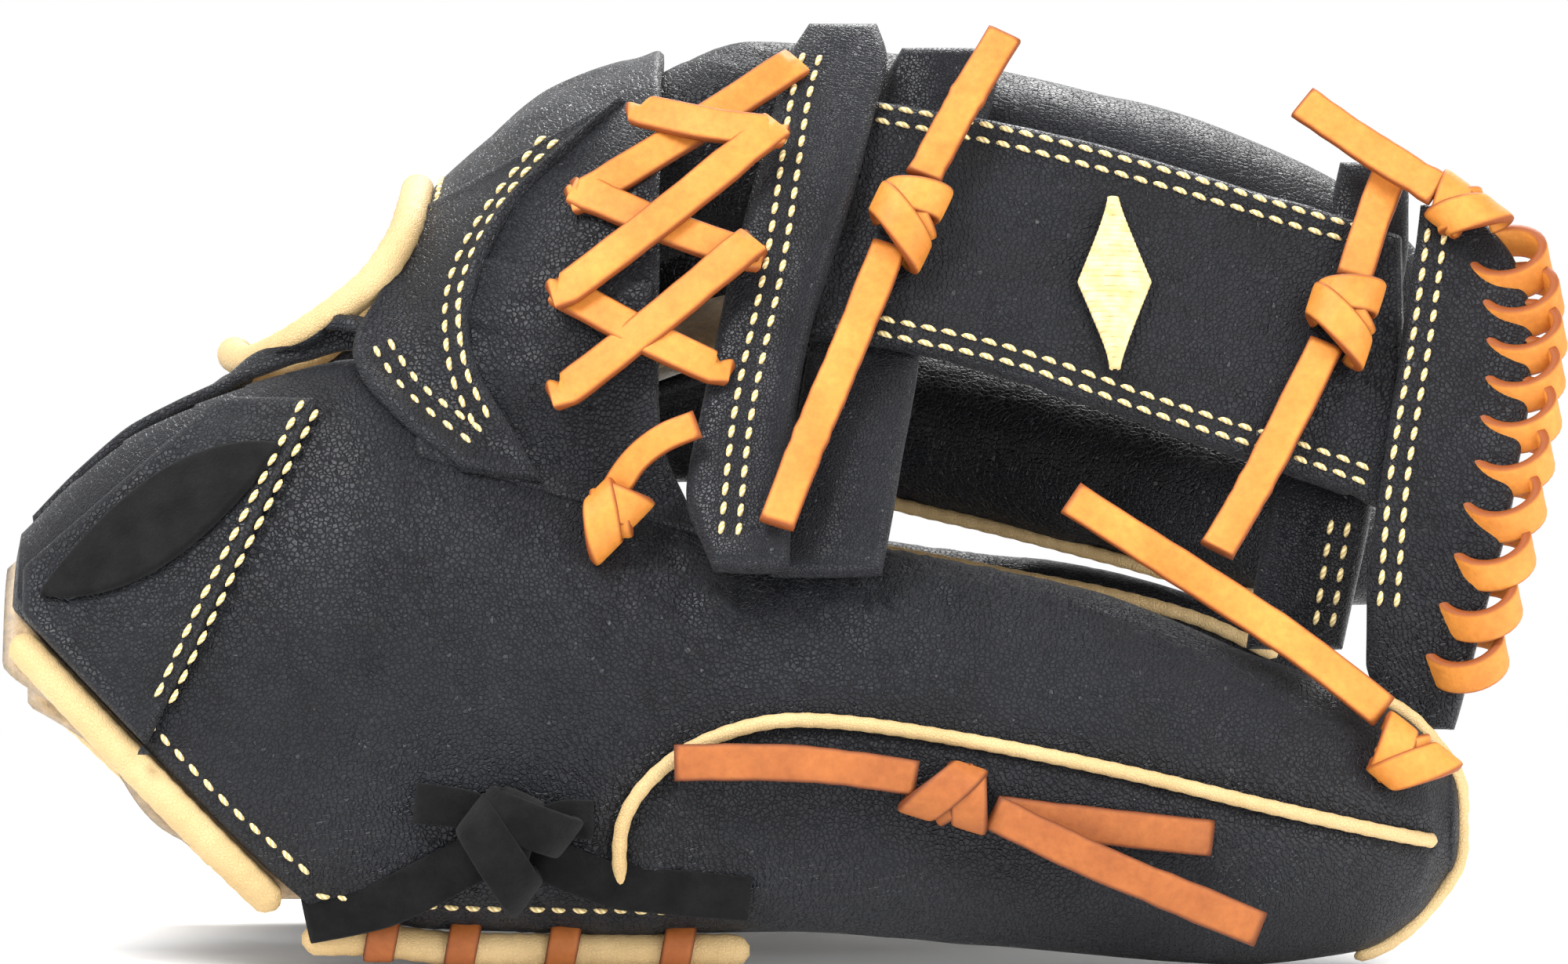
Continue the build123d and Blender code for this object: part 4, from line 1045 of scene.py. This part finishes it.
back_leather = done(arch_piece("back_leather", HAND_BACK, 2.4, black, seed=51), "hand", "black_leather",
    "hand_back")
done(arch_piece("palm_panel", PALM, 2.4, black, seed=53), "hand", "black_leather", "palm_leather")
pad = arch_piece("palm_felt", PALM, 4.0, felt, lift=4.5, seed=54, round_over=6.0)
done(pad, "hand", "felt_pad", "palm_pad")
lining = arch_piece("palm_fleece", PALM, 1.2, fleece, lift=6.2, seed=55)
done(lining, "hand", "tan_lining", "palm_lining")
done(arch_piece("strap_leather", STRAP, 2.4, black, seed=57, bead=0.25), "hand", "black_leather",
    "wrist_strap")
lining = arch_piece("strap_fleece", STRAP, 2.4, fleece, lift=-2.9, seed=58)
done(lining, "hand", "tan_lining", "strap_lining")
BACK_OPENING = [
    (-98.2, 1, 106.2), (-97.5, -14, 105.8), (-94, -27, 105.3), (-87, -34.5, 108.6), (-79, -38, 114),
    (-72, -37, 120),
    (-67.2, -29, 127.5), (-65.5, -15, 133), (-65.5, 2, 135), (-66.8, 18, 131.8), (-70.5, 31, 122.5),
    (-77, 38.5, 112),
    (-86, 37.5, 104.5), (-93.5, 28.5, 102), (-97, 15, 104.2), (-98.2, 2, 106.1),
]
opening = smooth_line(BACK_OPENING, 1.0)
done(roll("back_rim", opening, 6.0, cream, (0.3, 0, 1), pucker=0.05), "hand", "cream_leather",
    "back_binding")
heel_points = [(-107.5, -10, 57), (-109.5, -4, 59.6), (-110, 1, 60.2), (-109.5, 6, 59.6), (-107.5, 11, 57)]
heel = roll("heel_cushion", smooth_line(heel_points, 1.0), 8.0, smooth_black, (1, 0, 0))
done(heel, "hand", "black_leather", "heel_roll")


def back_near(x, z):
    """The y of the near side of the hand's back at x and z: the panel's circle solved for y."""
    ay, az, by, bz, cy, cz = np.moveaxis(curve_rows(HAND_BACK, x), -1, 0)
    d = 2 * (ay * (bz - cz) + by * (cz - az) + cy * (az - bz))
    a2, b2, c2 = ay**2 + az**2, by**2 + bz**2, cy**2 + cz**2
    y = (a2 * (bz - cz) + b2 * (cz - az) + c2 * (az - bz)) / d
    z0 = (a2 * (cy - by) + b2 * (ay - cy) + c2 * (by - ay)) / d
    radius = np.hypot(ay - y, az - z0)
    return y - np.sqrt(np.maximum(radius**2 - (z - z0) ** 2, 0))


def near_front(x, z, lift):
    """The nearer of the hand's back and the thumb at x and z, rounded together, and lifted towards -Y."""
    back = back_near(x, z)
    low, high = np.moveaxis(curve_rows(THUMB, x)[..., 1:3], -1, 0)
    thumb = skin(THUMB, x, np.clip(z, low + 1, high - 1), -1)[..., 1]
    thumb = np.where(z > high - 1, thumb + (z - high + 1) * 1.6, thumb)
    blend = 2.5
    return -blend * np.log(np.exp(-(back + 50) / blend) + np.exp(-(thumb + 50) / blend)) - 50 - lift


def ruled_patch(name, left, right, thick, lift, material, along=90, wide=50, rough=0.2, seed=61, **how):
    """A patch on the glove's near side, ruled between two edges given as (x, z), upwards."""
    a, b = (smooth_line(np.array([(x, z, 0) for x, z in side], float), 0.5)[:, :2]
        for side in (left, right))
    at = even(along, 0.5)
    a, b = (
        np.stack([np.interp(at, lengths(e) / lengths(e)[-1], e[:, i]) for i in range(2)], 1) for e in (a, b)
    )
    s = even(wide, 0.5)[None, :, None]
    flat_grid = a[:, None] + (b - a)[:, None] * s
    x, z = flat_grid[..., 0], flat_grid[..., 1]
    y = near_front(x, z, lift) + rough * ripple(x, z, seed, 6, 0.05, 0.2)
    return slab(name, np.stack([x, y, z], -1), thick, material, flip=True, **how)


crotch = ruled_patch(
    "crotch_leather", [(-64, 90), (-66, 104), (-66, 126)], [(-14, 76), (-21, 92), (-23, 120)], 2.0, 0.6,
    black, rough=0.45,
)
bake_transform(crotch)
leaf = ruled_patch(
    "leaf_panel", [(-56, 88), (-67.5, 97.2), (-75.6, 108), (-70, 120), (-65.5, 131.6)],
    [(-41.9, 85.7), (-54, 105.3), (-54.7, 118.8), (-47, 135), (-28, 152.5)], 2.4, 2.6, black, bead=0.35,
    seed=63,
)
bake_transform(leaf)
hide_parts("index_panel")


def tab_patch():
    """The strap's near part: a patch on the thumb's skin from the wrist edge to a diagonal seam."""
    s, t = even(80, 0.5)[:, None], even(56, 0.5)[None]
    z = 38 + 62 * s + 0 * t
    left = np.maximum(-71.5 - z, -133.5) + np.maximum(z - 70, 0) * 1.15
    right = -110.7 + (z - 40.5) * 0.49
    x = left + (right - left) * t
    low, high = np.moveaxis(curve_rows(THUMB, x)[..., 1:3], -1, 0)
    place = skin(THUMB, x, np.clip(z, low + 1, high - 1.5), -1, 2.6)
    place[..., 2] = np.minimum(z, high - 1.5)
    return slab("strap_tab_leather", place, 2.4, black, bead=0.3, flip=True)


strap_tab = done(tab_patch(), "thumb_side", "black_leather", "strap_tab")


def patch_of_strap():
    """The raised lens on the strap, in suede, on the thumb's near side."""
    s, t = even(50, 0.6)[:, None], even(30, 0.6)[None]
    half = 13.5 * np.sin(np.pi * np.clip(s, 0.02, 0.98)) ** 0.8
    x = -130 + 42 * s + 0 * t
    z = 66 + 26 * s + (2 * t - 1) * half * 0.62
    low, high = np.moveaxis(curve_rows(THUMB, x)[..., 1:3], -1, 0)
    place = skin(THUMB, x, np.clip(z, low + 1, high - 2), -1, 4.6)
    place[..., 2] = np.minimum(z, high - 2)
    return slab("strap_patch_suede", place, 2.0, raw_edge)


done(patch_of_strap(), "thumb_side", "black_suede", "strap_patch")


def bridge(name, hand_line, stall_line, side, rise=2.5):
    """Leather that crosses from the hand to an edge stall: ruled between two lines and arched up in its
    middle."""
    t = even(70, 0.3)
    a, b = (smooth_line(line, 0.8) for line in (hand_line, stall_line))
    a, b = (np.stack([np.interp(t, lengths(e) / lengths(e)[-1], e[:, i]) for i in range(3)], 1)
        for e in (a, b))
    s = even(36, 0.4)[None, :, None]
    grid = a[:, None] + (b - a)[:, None] * s
    grid[..., 2] += (rise * np.sin(np.pi * s) + 0.3 * ripple(grid[..., 0], grid[..., 1], 97, 6, 0.05,
        0.2)[..., None])[..., 0]
    piece = slab(name, grid, 2.2, black, flip=side < 0)
    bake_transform(piece)
    return piece or piece


cross_x = np.array([-133.0, -124, -113, -99])
bridge(
    "far_strap_bridge",
    [*arch(STRAP, cross_x, 0.93, -0.3), (-93.5, 30.5, 101.5), (-86, 40, 104), (-77, 42, 108),
    (-66, 47, 105)],
    on_rim(LITTLE, [*cross_x, -93, -85, -76, -65], 84, 1.4), 1,
)
bridge(
    "near_strap_bridge",
    [*arch(STRAP, cross_x, 0.07, -0.3), (-94, -29, 104.6), (-87, -36.5, 107.6), (-79, -40, 111),
    (-66, -47, 107)],
    on_rim(THUMB, [*cross_x, -93, -85, -76, -65], 96, 1.4), -1,
)


# ---------------------------------------------------------------- web
def web_bar(name, rows, thick, material, node_name, lift=0.0, share=(0.0, 1.0), crown=0.0, seed=71,
        z_span=None, **how):
    """An upright web bar: its front, crowned across its width, with rolled edges."""
    z0, z1 = z_span or (rows[0][0], rows[-1][0])
    z = (z0 + (z1 - z0) * even(110, 0.4))[:, None]
    t = even(40, 0.6)[None]
    s = share[0] + (share[1] - share[0]) * t
    grid = upright(rows, z, s, 0)
    top = lift + crown * (1 - (2 * t - 1) ** 2) + 0.2 * ripple(grid[..., 0], grid[..., 2], seed, 5,
        0.05, 0.2)
    grid[..., 1] -= top
    piece = slab(name, grid, thick, material, flip=True, **how)
    return done(piece, "hand", "black_leather", *([node_name] if node_name else []))


base_roll = web_bar("base_roll_leather", BASE_ROLL, 5.0, smooth_black, "web_base_roll", crown=1.2, seed=72)
base_bar = web_bar("base_bar_leather", BASE_BAR, 4.6, smooth_black, "web_base_bar", crown=1.4, lift=0.4,
    bead=0.2)
top_bar = web_bar("top_bar_leather", TOP_BAR, 4.6, smooth_black, "web_top_bar", crown=1.2, seed=74,
    bead=0.2)
edge_band = web_bar("edge_band_leather", EDGE_BAND, 3.6, black, "web_edge_band", seed=75, bead=0.2)


def post_piece():
    """The web's post: a sheet crowned a little, rolled along its top and its lower edge."""
    x = np.linspace(3.5, 110, 120)[:, None]
    t = even(64, 0.6)[None]
    grid = post_front(x, t, 0.25 * ripple(x, t * 45, 76, 6, 0.05, 0.22) + 0.6 * (1 - (2 * t - 1) ** 2))
    return done(slab("post_leather", grid, 3.4, black, bead=0.35), "hand", "black_leather", "web_post")


post = post_piece()


def diamond():
    """A plain slender diamond in satin stitch: a crowned kite ridged once a thread."""
    s, t = even(120)[:, None], even(26, 0.5)[None]
    half = 6.5 * (1 - np.abs(2 * s - 1))
    x = 58 + (2 * t - 1) * half
    z = 118.5 + 15 * (2 * s - 1) + 0 * t
    low_z, _, high_z, _ = np.moveaxis(curve_rows(POST, x), -1, 0)
    ridge = 0.16 * np.abs(np.sin(s * 34 * np.pi + t * 1.2)) * (half > 0.3)
    grid = post_front(x, (z - low_z) / (high_z - low_z), 1.6 + ridge + 0.5 * (1 - (2 * t - 1) ** 2))
    return slab("web_diamond", grid, 1.0, satin)


satin = bpy.data.materials["cream_thread"].copy()
satin.name = "satin_stitch"
satin_shader = satin.node_tree.nodes["Principled BSDF"]
for link in list(satin_shader.inputs["Base Color"].links) + list(satin_shader.inputs["Normal"].links):
    satin.node_tree.links.remove(link)
satin_place = satin.node_tree.nodes.new("ShaderNodeTexCoord").outputs["Object"]
satin_noise = texture(satin.node_tree, "ShaderNodeTexNoise", satin_place, 420, Detail=4.0)
satin.node_tree.links.new(
    ramp(satin.node_tree, satin_noise.outputs["Fac"], 0.3, 0.7, (0.60, 0.44, 0.18), (0.86, 0.70, 0.38)),
    satin_shader.inputs["Base Color"],
)
done(diamond(), "hand", "cream_thread", "web_emblem")


# ---------------------------------------------------------------- laces
LEFT_HOLES = [(x, float(back_near(np.array(x), z)), z)
    for x, z in ((-25, 147), (-35.5, 134), (-38.5, 116.5), (-38.5, 99))]
RIGHT_HOLES = [(1.5, -26.5, 156), (-2, -38.5, 143.5), (-6, -51, 123.5), (-11.5, -60.5, 104)]
ZIGZAG = [(0, 1, 2.2), (1, 0, 4.8), (1, 2, 4.8), (2, 1, 2.2), (2, 3, 4.8), (3, 2, 2.2)]  # right, left, lift


def zigzag():
    """The crotch lacing: flat laces between facing holes, each arched a little towards the viewer."""
    parts = []
    for seed, (r, l, lift) in enumerate(ZIGZAG):
        a, b = np.array(RIGHT_HOLES[r], float), np.array(LEFT_HOLES[l], float)
        a, b = a - (1, lift, -lift / 2), b - (-1, lift, -lift / 2)
        middle = (a + b) / 2 - (0, 1.6, 0.4)
        line = smooth_line([a + (0.8, 2.2, 0), a, middle, b, b + (-0.8, 2.2, 0)], 1.2)
        parts.append(flat(line, (0, -1, 0.55), seed=seed))
    return several("crotch_lacing", parts, tan)


done(zigzag(), "hand", "tan_lace", "web_crotch_lace")
spiral = []
for z in (122.5, 116, 109.5, 103, 96, 88.5, 80.5, 72, 63, 54):
    _, right, y = curve_rows(EDGE_BAND, z)
    spiral.append(wrap((right - 1.6, y + 1.7, z), (-0.2, -0.42, 0.88), (0.9, -0.2, 0.1), 4.4, 6.4,
        width=5.9, skew=2.2, sweep=(-88, 268)))
done(several("edge_spiral", spiral, tan), "hand", "tan_lace", "web_edge_lace")


def post_y(x, z):
    """The y of the post's front at x and z."""
    low_z, low_y, high_z, high_y = curve_rows(POST, x)
    return float(low_y + (high_y - low_y) * (z - low_z) / (high_z - low_z))


done(tight_knot("base_knot", (21.5, post_y(21.5, 126) - 3.6, 131.5), (0.42, 0.3, 0.86), (0, -1, 0.5),
    tan, 6.4), "hand", "tan_lace", "web_base_knot")
done(tight_knot("top_knot", (98.5, post_y(98.5, 108) - 3.6, 114), (0.3, 0.3, 0.9), (0, -1, 0.5), tan,
    6.4), "hand", "tan_lace", "web_top_knot")
done(tight_knot("index_knot", (119.5, float(curve_rows(EDGE_BAND, 127.0)[2]) - 2.6, 132),
    (-0.8, 0.2, 0.6), (0, -1, 0.3), tan, 4.6), "hand", "tan_lace", "index_tip_knot")
done(tight_knot("thumb_knot", on_skin(108, 37, 6, 4.2), (-0.8, 0, 0.62), (0, -1, 0.1), tan, 5.6),
    "thumb_side", "tan_lace", "thumb_tip_knot")
crotch_at = np.array(on_skin(-30, 80, 4, 3.2))
crotch_tail = smooth_line([crotch_at + (0, 0, 3), crotch_at + (4, -1, 9), crotch_at + (9, -2.5, 13),
    crotch_at + (15, -3, 15.5)], 1.2)
done(tight_knot("crotch_tie", crotch_at, (0.7, 0, 0.72), (0, -1, 0.2), tan, 4.6), "thumb_side",
    "tan_lace", "crotch_knot")
done(ribbon("crotch_tie_tail", crotch_tail, (0, -1, 0.3), tan, width=5.0, seed=91), "thumb_side",
    "tan_lace")
done(tight_knot("thumb_loop_tie", on_skin(29.7, 31.5, 6, 3.4), (0.95, 0, -0.3), (0, -1, 0), brown, 5.6),
    "thumb_side", "brown_lace", "thumb_loop_knot")
little_place = skin(LITTLE, 22, 33, 1, 3.4)
done(tight_knot("little_loop_tie", little_place, (0.95, 0, -0.2), (0, 1, 0), brown, 5.6), "little_side",
    "brown_lace", "little_loop_knot")


def laid_lace(name, rows, side, start, end, body, slot, material, node_name, count=12):
    """A short lace laid along a stall's skin between two (x, z)."""
    share = np.linspace(0, 1, count)
    x, z = start[0] + (end[0] - start[0]) * share, start[1] + (end[1] - start[1]) * share
    sink = 1.6 * np.clip(1 - np.minimum(share, 1 - share) / 0.08, 0, 1)
    line = skin(rows, x, z, side, 1.4) - np.array([0, side, 0]) * sink[:, None]
    return done(ribbon(name, smooth_line(line, 1.2), (0, side, 0), material), body, slot, node_name)


laid_lace("thumb_loop_strip", THUMB, -1, (37, 28), (74, 23.6), "thumb_side", "brown_lace", brown,
    "thumb_loop_lace")
laid_lace("little_loop_strip", LITTLE, 1, (29, 32), (62, 29), "little_side", "brown_lace", brown,
    "little_loop_lace")
strip_line = smooth_line([(100.6, post_y(100.6, 118) - 3, 120), (104, post_y(104, 121) - 0.5, 130),
    (108, post_y(108, 124) + 3, 140)], 1.2)
done(ribbon("top_strip", strip_line, (0, -1, 0.7), tan), "hand", "tan_lace", "web_top_lace")
done(several("finger_lacing", [
    flat(smooth_line([(106, 13, 120), (109, 21, 114), (108, 29, 107)], 1.2), (1, 0, 0.5), seed=81),
    flat(smooth_line([(105, 42, 92), (105, 47, 86), (101, 51, 80)], 1.2), (1, 0.5, 0.5), seed=82),
], tan), "hand", "tan_lace", "finger_tip_lace")


def black_tie():
    """The heel's black tie: a wide tight knot over two suede straps pulled flat into the leather."""
    def strap(points, width):
        flat_line = smooth_line(np.array([(x, z, 0) for x, z in points], float), 1.2)
        share = lengths(flat_line) / lengths(flat_line)[-1]
        line = skin(THUMB, flat_line[:, 0], flat_line[:, 1], -1, 1.3)
        line[:, 1] += 1.8 * np.clip(1 - np.minimum(share, 1.2 - share) / 0.1, 0, 1)
        return flat(line, (0, -1, 0), width, 1.8, seed=int(width * 10))

    middle, a, n = np.array(on_skin(-47, 24, 8, 4.0)), np.array([0.6, 0, 0.8]), np.array([0, -1.0, 0])
    return several("heel_tie_leather", [
        strap([(-47, 24), (-58, 18), (-70, 12), (-83, 9)], 8.5),
        strap([(-45, 22), (-34, 17), (-26, 15), (-6, 13)], 8.0),
        strap([(-48, 26), (-56, 29), (-64, 30)], 7.0), strap([(-45, 25), (-38, 27), (-33, 27)], 7.0),
        wrap(middle + a * 3.6, a, n, 7.6, 5.2, 8.0, 2.2, thick=1.8),
        wrap(middle - a * 3.8, a, n, 8.0, 5.8, 8.4, -3.0, thick=1.8),
        wrap(middle - n * 0.5, (0.9, 0, -0.4), n, 7.2, 5.0, 7.6, 1.0, thick=1.8),
    ], raw_edge)


done(black_tie(), "thumb_side", "black_suede", "heel_tie")


# ---------------------------------------------------------------- stitching
def rows_on(pieces, places, offsets=(0.0,), lift=0.15, look=(0, 1, 0)):
    """Parallel rows of stitches along one line laid on pieces."""
    line, normals = lay_on(pieces, places, lift, look)
    return [(beside(line, normals, o), normals) for o in offsets] if len(line) > 6 else []


PAIR = (-1.5, 1.5)
web_rows = []
web_rows += rows_on([base_bar], [(5, 160), (2.5, 150), (-1.5, 124), (-7, 98), (-9.5, 76)], PAIR)
web_rows += rows_on([post], [(16, 149.5), (40, 145), (67, 138), (92, 130.5), (103, 127.5)], (-1.2, 1.8))
web_rows += rows_on([post], [(16, 112), (40, 106.5), (67, 97), (92, 89), (103, 85)], (-1.8, 1.2))
web_rows += rows_on([edge_band], [(115.5, 129), (112.5, 110), (108, 85), (106, 62)], PAIR)
web_rows += rows_on([top_bar], [(100.5, 138), (98.5, 132)], PAIR) + rows_on([top_bar],
    [(98, 78), (95, 58)], PAIR)
web_rows += rows_on([base_roll], [(19, 158), (17.5, 152)], PAIR)
sew("web_stitches", web_rows, "hand", cream_thread)
thumb_rows = rows_on([strap_tab], [(-82, 100), (-90, 84), (-98, 68), (-108, 47)], PAIR)
thumb_rows += rows_on([thumb_leather], [(-128, 61), (-112, 45), (-96, 29), (-82, 17)])
thumb_rows += rows_on([thumb_leather], [(-82, 13.5), (-60, 11.5), (-40, 11), (-12, 10.5)])
sew("thumb_stitches", thumb_rows, "thumb_side", cream_thread)
leaf_right = [(-47, 95), (-51.5, 105), (-52.2, 118.8), (-45.5, 133), (-32, 149)]
leaf_rows = rows_on([leaf], [(x - 5.5, z) for x, z in leaf_right], PAIR)
leaf_rows += rows_on([leaf], [(-53, 92.5), (-64.5, 101), (-71, 109.5)], PAIR)
sew("leaf_stitches", leaf_rows, "hand", cream_thread)
finger_rows = []
for piece, rows in zip(fingers, (INDEX, MIDDLE, RING)):
    run = np.linspace(rows[0][0] + 12, rows[-1][0] - 10, 60)
    for degrees in (58, 66):
        line = on_rim(rows, run, degrees, 0.5)
        finger_rows.append((line, unit(line - on_rim(rows, run, degrees, -4.0))))
sew("finger_stitches", finger_rows, "hand", cream_thread)
opening_rows = smooth_line([(-67, -38, 113.5), (-62, -22, 134), (-61, 2, 141), (-62, 24, 131),
    (-64.5, 40, 113)], 1.0)
back_rows, back_normals = [], []
for x, y, z in opening_rows:
    hit = tree_of(back_leather).ray_cast(Vector((x, y, 300)), Vector((0, 0, -1)))
    if hit[0] is not None:
        back_rows.append(hit[0] + hit[1] * 0.2)
        back_normals.append(hit[1])
if len(back_rows) > 6:
    sew("back_stitches", [(np.array(back_rows), np.array(back_normals))], "hand", cream_thread)
little_rows = rows_on([little_leather], [(-120, 40), (-105, 25)], look=(0, -1, 0))
little_rows += rows_on([little_leather], [(-82, 13.5), (-40, 11), (-12, 11)], look=(0, -1, 0))
sew("little_stitches", little_rows, "little_side", cream_thread)
